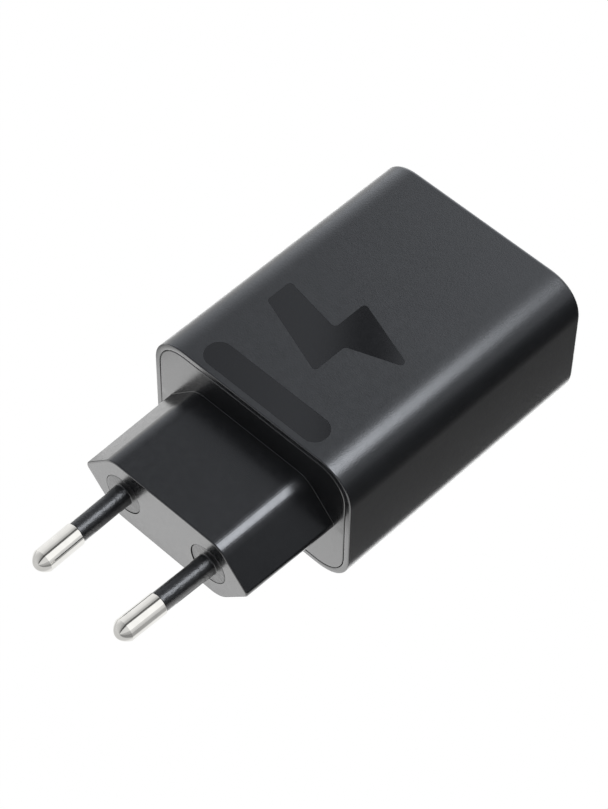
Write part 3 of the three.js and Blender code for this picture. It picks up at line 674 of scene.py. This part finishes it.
def housing_stations():
    """(inset, y) from the inner end wall, out through the front rim and back to the port face."""
    behind_front = BODY_FRONT_Y + RIM_ROUNDING
    before_far = BODY_FAR_Y - FAR_EDGE_ROUNDING
    stations = [
        (BODY_WALL, BODY_FAR_Y - END_WALL),
        (BODY_WALL, CAP_BACK_Y + SEAM),
        (RIM_WIDTH, CAP_BACK_Y + SEAM),
    ]
    stations += quarter((RIM_WIDTH, behind_front), (RIM_WIDTH - RIM_ROUNDING, BODY_FRONT_Y))
    stations += quarter((RIM_ROUNDING, BODY_FRONT_Y), (0, behind_front), across_first=True)
    stations += quarter((0, before_far), (FAR_EDGE_ROUNDING, BODY_FAR_Y), steps=10)
    return stations


def port_cutter(label):
    """A port cut-out through the end wall whose mouth rounds outwards."""
    width, height, middle = shell_size(label)
    mouth = BODY_FAR_Y - PORT_MOUTH_ROUNDING
    stations = [(0, BODY_FAR_Y - END_WALL - CUT_PAST)]
    stations += quarter((0, mouth), (PORT_MOUTH_ROUNDING, BODY_FAR_Y), steps=5)
    stations.append((PORT_MOUTH_ROUNDING + PORT_CUT_PAST, BODY_FAR_Y + PORT_CUT_PAST))
    loops = []
    for spread, y in stations:
        room = PORT_CLEARANCE + spread
        radius = PORT_CORNERS[label] + room
        outline = rounded_rectangle(width + 2 * room, height + 2 * room, radius, steps=10)
        loops.append(ring_at(outline, y, middle))
    return loft("port_cut", loops)


def add_housing(materials):
    loops = [ring_at(body_outline(inset), y, MID_Z) for inset, y in housing_stations()]
    housing = loft("housing", loops)
    for label in PORT_CORNERS:
        cut(housing, port_cutter(label))
    cut_mark_recesses(housing)
    finish_piece(housing, materials["housing_plastic"], "housing_plastic", "housing_shell")


def drafted(outline, y):
    """The plug grows wider in x towards the plate."""
    widening = 1 + (y - PLUG_FACE_Y) / PLUG_LENGTH * PLUG_DRAFT / (PLUG_WIDTH / 2)
    return [(x * widening, z) for x, z in outline]


def plate_outline(inset):
    return [(x + PLATE_SHIFT, z) for x, z in body_outline(inset)]


def cap_stations(edge):
    """(outline, y) from the hollow inside, round the skirt and the plate's edge, to the plug's face."""
    skirt_out = BODY_WALL + CAP_SKIRT_GAP
    skirt_in = skirt_out + CAP_SKIRT_WALL
    stations = [
        (plug_outline(-PLUG_WALL), PLUG_FACE_Y + PLUG_FRONT_WALL),
        (plug_outline(-PLUG_WALL), CAP_BACK_Y),
        (plate_outline(skirt_in), CAP_BACK_Y),
        (plate_outline(skirt_in), SKIRT_END_Y),
        (plate_outline(skirt_out), SKIRT_END_Y),
        (plate_outline(skirt_out), CAP_BACK_Y),
        (plate_outline(edge), CAP_BACK_Y),
    ]
    start = (edge, BODY_FRONT_Y + CAP_ROUNDING)
    for inset, y in quarter(start, (edge + CAP_ROUNDING, BODY_FRONT_Y)):
        stations.append((plate_outline(inset), y))
    start = (PLUG_ROOT_FILLET, BODY_FRONT_Y)
    for growth, y in quarter(start, (0, BODY_FRONT_Y - PLUG_ROOT_FILLET), steps=4):
        stations.append((drafted(plug_outline(growth), y), y))
    start = (0, PLUG_FACE_Y + PLUG_FACE_ROUNDING)
    for growth, y in quarter(start, (-PLUG_FACE_ROUNDING, PLUG_FACE_Y), steps=5):
        stations.append((drafted(plug_outline(growth), y), y))
    return stations


ANGLE_DIGITS = 5  # angles that agree this far count as one


def add_front_cap(materials):
    """The end plate and the plug in one moulding, with a seat for each pin's collar."""
    edge = RIM_WIDTH + SEAM
    corners = plug_outline(0) + body_outline(edge)
    angles = sorted({round(polar(point), ANGLE_DIGITS) for point in corners})
    loops = [ring_at(at_angles(outline, angles), y, MID_Z) for outline, y in cap_stations(edge)]
    cap = loft("front_cap_moulding", loops)
    for side in (-1, 1):
        cutter = lathe("collar_cut", collar_seat_profile())
        cutter.data.transform(pin_matrix(side))
        cut(cap, cutter)
    finish_piece(cap, materials["cap_plastic"], "cap_plastic", "front_cap")


def collar_seat_profile():
    """(radius, y) of what a collar's seat and its pin's bore take out of the plug's front wall."""
    seat = COLLAR_DIAMETER / 2 + COLLAR_GROOVE
    bore = PIN_NECK / 2 + COLLAR_BORE_GAP
    bottom = COLLAR_DEPTH + COLLAR_SEAT_GAP
    inside = PLUG_FRONT_WALL + CUT_PAST
    return [(0, -CUT_PAST), (seat, -CUT_PAST), (seat, bottom), (bore, bottom), (bore, inside), (0, inside)]


# ---------------------------------------------------------------- gloss marks on the top

MARK_RECESS = 0.03
MARK_GROOVE = 0.04
MARK_SINK = 0.008
BOLT_MIDDLE = (-0.3, 11.5)
BOLT_LENGTH = 25.4
BOLT_BREADTH = 15.4
BOLT_CORNER = 0.7
BAR_LEFT = -13.0
BAR_RIGHT = 12.5
BAR_LOW = -6.6
BAR_HIGH = -1.6
BAR_END_MARGIN = 0.01  # keeps the bar's round ends from having sides of no length


def rounded_corners(corners, radius, steps=8):
    """A polygon, anticlockwise in x and y, with its corners rounded."""
    points = []
    for i, corner in enumerate(corners):
        corner = Vector(corner)
        incoming = (corner - Vector(corners[i - 1])).normalized()
        outgoing = (Vector(corners[(i + 1) % len(corners)]) - corner).normalized()
        turn = math.atan2(incoming.cross(outgoing), incoming.dot(outgoing))
        side = math.copysign(1, turn)
        start = corner - incoming * radius * math.tan(abs(turn) / 2)
        centre = start + Vector((-incoming.y, incoming.x)) * radius * side
        first = start - centre
        for step in range(steps + 1):
            angle = turn * step / steps
            points.append(
                (
                    centre.x + first.x * math.cos(angle) - first.y * math.sin(angle),
                    centre.y + first.x * math.sin(angle) + first.y * math.cos(angle),
                )
            )
    return points


def grown(outline, growth):
    """An outline with each point moved outwards along the mean of its two sides' normals."""
    points = []
    for i, point in enumerate(outline):
        before = (Vector(point) - Vector(outline[i - 1])).normalized()
        after = (Vector(outline[(i + 1) % len(outline)]) - Vector(point)).normalized()
        along = (before + after).normalized()
        points.append((point[0] + along.y * growth, point[1] - along.x * growth))
    return points


def bolt_outline():
    """A lightning bolt lying along x, from corners given as parts of its length and breadth."""
    shape = [
        (0.5, 0.2),
        (-0.05, 0.5),
        (-0.05, 0.05),
        (-0.5, 0.17),
        (-0.5, -0.17),
        (0.1, -0.5),
        (0.1, -0.06),
    ]
    middle_x, middle_y = BOLT_MIDDLE
    corners = [(middle_x + u * BOLT_LENGTH, middle_y + v * BOLT_BREADTH) for u, v in shape]
    return rounded_corners(corners, BOLT_CORNER)


def bar_outline():
    corners = [(BAR_LEFT, BAR_LOW), (BAR_RIGHT, BAR_LOW), (BAR_RIGHT, BAR_HIGH), (BAR_LEFT, BAR_HIGH)]
    return rounded_corners(corners, (BAR_HIGH - BAR_LOW) / 2 - BAR_END_MARGIN, steps=16)


def slab(name, outline, low, high):
    loops = [[Vector((x, y, z)) for x, y in outline] for z in (low, high)]
    return loft(name, loops)


MARK_OUTLINES = {"mark_bolt": bolt_outline, "mark_bar": bar_outline}


def cut_mark_recesses(housing):
    for outline in MARK_OUTLINES.values():
        cut(housing, slab("mark_cut", outline(), TOP_Z - MARK_RECESS, TOP_Z + CUT_PAST))


def add_marks(materials):
    """Thin gloss pieces, each in a shallow recess of the grained top."""
    for name, outline in MARK_OUTLINES.items():
        shape = grown(outline(), -MARK_GROOVE)
        mark = slab(name, shape, TOP_Z - MARK_RECESS, TOP_Z - MARK_SINK)
        finish_piece(mark, materials["gloss_mark"], "housing_plastic")


# ---------------------------------------------------------------- ports


def add_port_shell(label, materials):
    """A drawn metal shell, open at both ends, with a rounded lip at the mouth."""
    width, height, middle = shell_size(label)
    low, high = shell_boxes[label]
    back = low[1] / MM
    mouth = high[1] / MM
    sheet = PORT_SHEETS[label]
    lip = sheet / 3
    stations = [(sheet, back), (0, back)]
    stations += quarter((0, mouth - lip), (lip, mouth), steps=4)
    stations += quarter((sheet - lip, mouth), (sheet, mouth - lip), steps=4, across_first=True)
    loops = []
    for inset, y in stations:
        radius = PORT_CORNERS[label] - inset
        outline = rounded_rectangle(width - 2 * inset, height - 2 * inset, radius, steps=12)
        loops.append(ring_at(outline, y, middle))
    shell = loft(label + "_drawn_shell", loops, close_ends=False)
    join_ends(shell, len(loops[0]))
    finish_piece(shell, materials["shell_steel"], "shell_steel", label + "_shell")


def join_ends(piece, count):
    """Closes a skin whose last loop meets its first, which makes it a tube with a wall."""
    work = bmesh.new()
    work.from_mesh(piece.data)
    work.verts.ensure_lookup_table()
    total = len(work.verts)
    for i in range(count):
        j = (i + 1) % count
        first = work.verts[i]
        second = work.verts[j]
        third = work.verts[total - count + j]
        fourth = work.verts[total - count + i]
        work.faces.new((first, second, third, fourth))
    bmesh.ops.recalc_face_normals(work, faces=work.faces)
    work.to_mesh(piece.data)
    work.free()


CAD_MERGE_DISTANCE = 1e-6
FLAT_ANGLE = 0.01
CREASE_ANGLE = 0.5
SOFTENED_SHARP_ANGLE = 50


def add_softened(node, edge, materials):
    """A CAD piece with its sharp edges rounded off."""
    source = frame["nodes"][node]
    mesh = source.data.copy()
    mesh.transform(source.matrix_world)
    piece = make_object(node + "_softened", mesh)
    work = bmesh.new()
    work.from_mesh(mesh)
    bmesh.ops.remove_doubles(work, verts=work.verts, dist=CAD_MERGE_DISTANCE)
    bmesh.ops.dissolve_limit(work, angle_limit=FLAT_ANGLE, verts=work.verts, edges=work.edges)
    creases = [one for one in work.edges if one.is_manifold and one.calc_face_angle(0) > CREASE_ANGLE]
    bmesh.ops.bevel(work, geom=creases, offset=edge * MM, segments=3, affect="EDGES", clamp_overlap=True)
    work.to_mesh(mesh)
    work.free()
    slot = slots[node]
    finish_piece(piece, materials[slot], slot, node, sharp=SOFTENED_SHARP_ANGLE)


def add_ports(materials):
    for label in PORT_CORNERS:
        add_port_shell(label, materials)
    for label in PORT_CORNERS:
        add_softened(label + "_tongue", TONGUE_EDGE, materials)
    for number in range(1, 5):
        add_softened("usb_a_contact_" + str(number), CONTACT_EDGE, materials)


# ---------------------------------------------------------------- pins

PIN_SHARP_ANGLE = 12


def pin_matrix(side):
    """A pin's own frame: its axis along y, y = 0 on the plug face, leaning in towards the tip."""
    lean = math.atan((PIN_BASE_SPACING - PIN_TIP_SPACING) / 2 / PIN_LENGTH)
    base = Vector((side * PIN_BASE_SPACING / 2, PLUG_FACE_Y, MID_Z)) * MM
    return Matrix.Translation(base) @ Matrix.Rotation(-side * lean, 4, "Z")


def pin_profile():
    """(radius, y) from the tip of the dome back to the end of the tail."""
    radius = PIN_DIAMETER / 2
    neck = PIN_NECK / 2
    shoulder = -SLEEVE_LENGTH
    tail = PLUG_FRONT_WALL + PIN_TAIL
    across = radius / math.cos(PIN_DOME_START)
    along = PIN_DOME / (1 - math.sin(PIN_DOME_START))
    profile = [(0, -PIN_LENGTH)]
    for step in range(1, PIN_DOME_STEPS + 1):
        angle = math.pi / 2 + (PIN_DOME_START - math.pi / 2) * step / PIN_DOME_STEPS
        profile.append((across * math.cos(angle), along * (1 - math.sin(angle)) - PIN_LENGTH))
    profile += quarter((radius, shoulder - PIN_EDGE), (radius - PIN_EDGE, shoulder), steps=3)
    profile += [(neck, shoulder), (neck, tail), (0, tail)]
    return profile


def sleeve_profile():
    """(radius, y) of the sleeve's wall: its outer end, the outside, the collar and back to the bore."""
    outer = SLEEVE_DIAMETER / 2
    root = SLEEVE_ROOT_DIAMETER / 2
    bore = PIN_NECK / 2 + SLEEVE_BORE_GAP
    collar = COLLAR_DIAMETER / 2
    shoulder = -SLEEVE_LENGTH
    end = shoulder + SLEEVE_END_GAP
    face = COLLAR_RECESS
    profile = [(bore, end)]
    profile += quarter((outer - PIN_EDGE, end), (outer, shoulder + PIN_EDGE), steps=3, across_first=True)
    profile += [(outer, -SLEEVE_ROOT_LENGTH - SLEEVE_ROOT_TAPER), (root, -SLEEVE_ROOT_LENGTH)]
    profile += quarter((root, face - SLEEVE_ROOT_FILLET), (root + SLEEVE_ROOT_FILLET, face), steps=4)
    profile += [(collar - COLLAR_LAND, face)]
    profile += quarter((collar - PIN_EDGE, face), (collar, face + PIN_EDGE), steps=3, across_first=True)
    profile += [(collar, COLLAR_DEPTH), (bore, COLLAR_DEPTH)]
    return profile


def add_pins(materials):
    for side, label in ((-1, "left"), (1, "right")):
        metal = lathe("pin_metal_" + label, pin_profile())
        metal.data.transform(pin_matrix(side))
        finish_piece(metal, materials["pin_metal"], "pin_metal", "pin_" + label, sharp=PIN_SHARP_ANGLE)
        cover = lathe("pin_cover_" + label, sleeve_profile())
        cover.data.transform(pin_matrix(side))
        finish_piece(cover, materials["sleeve_plastic"], "sleeve_plastic", "pin_sleeve_" + label)


# ---------------------------------------------------------------- stage and light

FLOOR_RADIUS = 1.6
FLOOR_GLOW = 1.0
FLOOR_HEIGHT = -0.1 * MM
FLOOR_DARKEST = (0.03, 0.03, 0.03)
FLOOR_LIGHTEST = (0.04, 0.04, 0.04)
FLOOR_PATCH_SIZE = 40.0


def hide_from(item, *kinds):
    """Hides an item from some kinds of ray: camera, diffuse, glossy or shadow."""
    for kind in kinds:
        setattr(item, "visible_" + kind, False)


def disc(name, radius, height):
    work = bmesh.new()
    bmesh.ops.create_circle(work, cap_ends=True, segments=96, radius=radius)
    bmesh.ops.translate(work, verts=work.verts, vec=(0, 0, height))
    return object_from(name, work)


def add_floor():
    """The pale floor that shows in the picture: bright enough to show no shadow."""
    floor = disc("floor", FLOOR_RADIUS, FLOOR_HEIGHT)
    nodes = Nodes("floor_paper")
    tint = nodes.blend(nodes.noise(FLOOR_PATCH_SIZE), FLOOR_DARKEST, FLOOR_LIGHTEST)
    nodes.link(tint, nodes.shader.inputs["Base Color"])
    nodes.set(Roughness=0.9, Emission_Color=(1, 1, 1, 1), Emission_Strength=FLOOR_GLOW)
    floor.data.materials.append(nodes.material)
    hide_from(floor, "diffuse", "glossy", "shadow")


class Glow(Nodes):
    """A see-through light-giving material whose strength is worked out from the place on the piece."""

    def __init__(self, name, tint=(1, 1, 1)):
        super().__init__(name)
        parts = self.tree.nodes.new("ShaderNodeSeparateXYZ")
        self.link(self.place, parts.inputs["Vector"])
        self.x, self.y, self.z = parts.outputs
        self.tree.nodes.remove(self.shader)
        self.shader = self.tree.nodes.new("ShaderNodeEmission")
        self.shader.inputs["Color"].default_value = (*tint, 1)
        clear = self.tree.nodes.new("ShaderNodeBsdfTransparent")
        both = self.tree.nodes.new("ShaderNodeAddShader")
        self.link(self.shader.outputs["Emission"], both.inputs[0])
        self.link(clear.outputs["BSDF"], both.inputs[1])
        self.link(both.outputs["Shader"], self.tree.nodes["Material Output"].inputs["Surface"])

    def maths(self, operation, first, second):
        node = self.tree.nodes.new("ShaderNodeMath")
        node.operation = operation
        for value, socket in zip((first, second), node.inputs):
            self.feed(value, socket)
        return node.outputs["Value"]

    def product(self, first, *others):
        for other in others:
            first = self.maths("MULTIPLY", first, other)
        return first

    def step(self, source, start, end, low=0.0, high=1.0):
        """A smooth step from low at start to high at end."""
        node = self.tree.nodes.new("ShaderNodeMapRange")
        node.interpolation_type = "SMOOTHSTEP"
        node.inputs["From Min"].default_value = start
        node.inputs["From Max"].default_value = end
        node.inputs["To Min"].default_value = low
        node.inputs["To Max"].default_value = high
        self.link(source, node.inputs["Value"])
        return node.outputs["Result"]

    def across(self, distance, edge, low=0.0, high=1.0):
        """A step over a distance, whose edge is given in millimetres."""
        start, end = edge
        return self.step(distance, start * MM, end * MM, low, high)

    def around(self, edge, low=0.0, high=1.0):
        """A step over the angle round from straight up to the right, whose edge is given in degrees."""
        start, end = edge
        turn = self.maths("ARCTAN2", self.x, self.z)
        return self.step(turn, math.radians(start), math.radians(end), low, high)

    def finish(self, strength, piece, lit):
        """Lights only the pieces in one group; the others see through it."""
        self.link(strength, self.shader.inputs["Strength"])
        self.material.cycles.emission_sampling = "NONE"
        piece.data.materials.append(self.material)
        piece.light_linking.receiver_collection = lit
        hide_from(piece, "camera", "shadow")


BOUNCE_HEIGHT = -0.3 * MM
BOUNCE_GLOW = 2.65
BOUNCE_LEFT_GLOW = 1.4
BOUNCE_CORNER_GLOW = 0.5
BOUNCE_RIGHT_GLOW = 0.22
BOUNCE_FAR_RIGHT_GLOW = 0.03
BOUNCE_UNDER_SHADE = 0.25

# The edges of the bounce's zones: where each begins and where it is complete, in millimetres along x or y.
LEFT_EDGE = (-31, -39)
LEFT_FRONT_EDGE = (-34, -26)
LEFT_BACK_EDGE = (16, 4)
FAR_LEFT_EDGE = (-48, -65)
LEFT_CORNER_EDGE = (-19, -11)
RIGHT_EDGE = (20.5, 23.5)
RIGHT_FRONT_EDGE = (-12, -4)
FAR_RIGHT_EDGE = (30, 45)
UNDER_LEFT_EDGE = (-24, -20)
UNDER_RIGHT_EDGE = (18, 14)
UNDER_FRONT_EDGE = (-29.5, -28)
UNDER_BACK_EDGE = (-16, -18)


def left_zone(glow):
    """The part of the bounce beside the casing's left, where it takes on the left's brightness."""
    near = glow.across(glow.y, LEFT_BACK_EDGE)
    far = glow.across(glow.x, FAR_LEFT_EDGE)
    reach = glow.product(glow.across(glow.y, LEFT_FRONT_EDGE), glow.maths("MAXIMUM", near, far))
    zone = glow.product(glow.across(glow.x, LEFT_EDGE), reach)
    corner = BOUNCE_CORNER_GLOW - BOUNCE_GLOW
    beyond = BOUNCE_LEFT_GLOW - BOUNCE_GLOW
    return glow.product(zone, glow.across(glow.y, LEFT_CORNER_EDGE, corner, beyond))


def right_shade(glow):
    """How far the bounce is darkened on the casing's right, and more so farther out."""
    zone = glow.product(glow.across(glow.x, RIGHT_EDGE), glow.across(glow.y, RIGHT_FRONT_EDGE))
    near = glow.step(zone, 0, 1, 1, BOUNCE_RIGHT_GLOW / BOUNCE_GLOW)
    drop = glow.across(glow.x, FAR_RIGHT_EDGE, 1, BOUNCE_FAR_RIGHT_GLOW / BOUNCE_RIGHT_GLOW)
    far = glow.maths("ADD", glow.product(zone, glow.maths("SUBTRACT", drop, 1)), 1)
    return glow.product(near, far)


def under_shade(glow):
    """How far the bounce is darkened under the plug."""
    under_x = glow.product(glow.across(glow.x, UNDER_LEFT_EDGE), glow.across(glow.x, UNDER_RIGHT_EDGE))
    under_y = glow.product(glow.across(glow.y, UNDER_FRONT_EDGE), glow.across(glow.y, UNDER_BACK_EDGE))
    return glow.step(glow.product(under_x, under_y), 0, 1, 1, BOUNCE_UNDER_SHADE)


def add_bounce(lit):
    """What the casing sees in place of the floor: bright in front, greyer on its left, dark on its right."""
    bounce = disc("bounce", FLOOR_RADIUS, BOUNCE_HEIGHT)
    glow = Glow("bounce_glow")
    strength = glow.maths("ADD", left_zone(glow), BOUNCE_GLOW)
    glow.finish(glow.product(strength, under_shade(glow), right_shade(glow)), bounce, lit)


SKY_RADIUS = 1.5
SKY_TINT = (0.96, 1.0, 1.07)
SKY_LEFT_GLOW = 1.05
SKY_TOP_GLOW = 0.4
SKY_HALO_GLOW = 0.27
SKY_RIGHT_GLOW = 0.47
SKY_LOW_RIGHT_GLOW = 0.05
SKY_FAR_GAIN = 2.7

# Edges round the sky in degrees from straight up to the right, and along it in millimetres.
SKY_LEFT_EDGE = (-80, -25)
SKY_HALO_EDGE = (-31, -25)
SKY_TOP_EDGE = (-12, 10)
SKY_RIGHT_EDGE = (60, 80)
SKY_FAR_EDGE = (580, 880)
HORIZON_EDGE = (-20, 0)


def add_dome(name, radius):
    work = bmesh.new()
    bmesh.ops.create_uvsphere(work, u_segments=64, v_segments=32, radius=radius)
    return object_from(name, work)


def add_sky(lit):
    """A dome above the charger: bright low on the left, dim low on the right, brighter far behind."""
    sky = add_dome("sky", SKY_RADIUS)
    glow = Glow("sky_glow", SKY_TINT)
    halo = glow.around(SKY_HALO_EDGE, 0, SKY_HALO_GLOW)
    left = glow.maths("ADD", glow.around(SKY_LEFT_EDGE, SKY_LEFT_GLOW, SKY_TOP_GLOW), halo)
    right = glow.around(SKY_RIGHT_EDGE, SKY_RIGHT_GLOW, SKY_LOW_RIGHT_GLOW)
    rightward = glow.around(SKY_TOP_EDGE)
    leftward = glow.maths("SUBTRACT", 1, rightward)
    strength = glow.maths("ADD", glow.product(left, leftward), glow.product(right, rightward))
    above = glow.across(glow.z, HORIZON_EDGE)
    farther = glow.across(glow.y, SKY_FAR_EDGE, 1, SKY_FAR_GAIN)
    glow.finish(glow.product(above, strength, farther), sky, lit)


# The pins' sky, by the angle round from straight up to the right: (edge in degrees, change in brightness).
PIN_SKY_STEPS = (
    ((-70, -42), -0.12),
    ((-42, -12), -0.36),
    ((-11, -6), -0.4),
    ((6, 12), 1.03),
    ((60, 63), -0.38),
    ((63, 90), -0.15),
)
PIN_SKY_LEFT_GLOW = 1.0
PIN_SKY_RADIUS = 1.4
PIN_SKY_FRONT_EDGE = (-200, -700)
PIN_FLOOR_HEIGHT = -0.6 * MM
PIN_FLOOR_GLOW = 1.0
PIN_FLOOR_RIGHT_GLOW = 0.4
PIN_FLOOR_RIGHT_EDGE = (22, 32)
PIN_FLOOR_FRONT_EDGE = (-44, -50)
PIN_FRONT_SHADE = 0.68


def add_pin_surroundings(lit):
    """Calmer surroundings for the mirror-like pins: a softbox, a thin dark gap and a pale left side."""
    sky = add_dome("pin_sky", PIN_SKY_RADIUS)
    glow = Glow("pin_sky_glow")
    strength = PIN_SKY_LEFT_GLOW
    for edge, change in PIN_SKY_STEPS:
        strength = glow.maths("ADD", glow.around(edge, 0, change), strength)
    above = glow.across(glow.z, HORIZON_EDGE)
    front = glow.across(glow.y, PIN_SKY_FRONT_EDGE, 1, PIN_FRONT_SHADE)
    glow.finish(glow.product(strength, above, front), sky, lit)
    floor = disc("pin_floor", FLOOR_RADIUS, PIN_FLOOR_HEIGHT)
    glow = Glow("pin_floor_glow")
    strength = glow.across(glow.x, PIN_FLOOR_RIGHT_EDGE, PIN_FLOOR_GLOW, PIN_FLOOR_RIGHT_GLOW)
    front = glow.across(glow.y, PIN_FLOOR_FRONT_EDGE, 1, PIN_FRONT_SHADE)
    glow.finish(glow.product(strength, front), floor, lit)


FLAG_NEAR = Vector((-100, 134, 370))
FLAG_FAR = Vector((-230, 278, 303))
FLAG_NEAR_WIDTH = 24
FLAG_FAR_WIDTH = 10
FLAG_ACROSS = Vector((0.74, 0.67, 0)).normalized()
FLAG_DARKEST = (0.002, 0.002, 0.002)
FLAG_LIGHTEST = (0.004, 0.004, 0.004)
FLAG_WEAVE_SIZE = 3.0


def add_flag():
    """A black strip beside the main light, which draws the dark band across the marks."""
    near_side = FLAG_ACROSS * FLAG_NEAR_WIDTH / 2
    far_side = FLAG_ACROSS * FLAG_FAR_WIDTH / 2
    corners = [FLAG_NEAR - near_side, FLAG_NEAR + near_side, FLAG_FAR + far_side, FLAG_FAR - far_side]
    work = bmesh.new()
    work.faces.new([work.verts.new(corner * MM) for corner in corners])
    flag = object_from("flag", work)
    nodes = Nodes("flag_cloth")
    cloth = nodes.blend(nodes.noise(FLAG_WEAVE_SIZE), FLAG_DARKEST, FLAG_LIGHTEST)
    nodes.link(cloth, nodes.shader.inputs["Base Color"])
    nodes.set(Roughness=1.0, Specular_IOR_Level=0.0)
    flag.data.materials.append(nodes.material)
    hide_from(flag, "camera", "diffuse", "shadow")


LIGHT_TARGET = Vector((11.7, -17.0, 20.0)) * MM
LIGHT_PLACE = Vector((110.0, 70.0, 358.8)) * MM
LIGHT_WIDTH = 0.185
LIGHT_LENGTH = 0.24
LIGHT_GLOW = 12.1


def facing(place, target):
    """A turn and a place for something that looks along its own -z, with its y axis along the charger."""
    back = (place - target).normalized()
    side = Vector((0, 1, 0)).cross(back).normalized()
    up = back.cross(side)
    return Matrix.Translation(place) @ Matrix((side, up, back)).transposed().to_4x4()


def add_main_light(lit):
    """A rectangular softbox above the right side, which draws the long highlights."""
    data = bpy.data.lights.new("main_light", "AREA")
    data.shape = "RECTANGLE"
    data.size = LIGHT_WIDTH
    data.size_y = LIGHT_LENGTH
    data.energy = LIGHT_GLOW * math.pi * LIGHT_WIDTH * LIGHT_LENGTH
    data.color = SKY_TINT
    light = bpy.data.objects.new("main_light", data)
    light.matrix_world = facing(LIGHT_PLACE, LIGHT_TARGET)
    bpy.context.scene.collection.objects.link(light)
    light.light_linking.receiver_collection = lit


def gather(name, chosen):
    """A group of the pieces that a test picks by name, for the lights to tell apart."""
    group = bpy.data.collections.new(name)
    for item in bpy.context.scene.objects:
        if item.type == "MESH" and chosen(item.name):
            group.objects.link(item)
    return group


def add_world():
    world = bpy.data.worlds.new("studio")
    world.use_nodes = True
    world.node_tree.nodes["Background"].inputs["Strength"].default_value = 0.0
    bpy.context.scene.world = world


# ---------------------------------------------------------------- everything together

add_camera()
materials = make_materials()
add_housing(materials)
add_front_cap(materials)
add_marks(materials)
add_ports(materials)
add_pins(materials)

for node, item in frame["nodes"].items():
    if not item.hide_render:
        item.data.materials.clear()
        item.data.materials.append(materials[slots[node]])

pins = gather("pins", lambda name: name.startswith("pin_metal"))
casing = gather("casing", lambda name: not name.startswith("pin_metal"))
add_floor()
add_bounce(casing)
add_sky(casing)
add_pin_surroundings(pins)
add_flag()
add_main_light(casing)
add_world()
bpy.context.scene.view_settings.view_transform = "Standard"
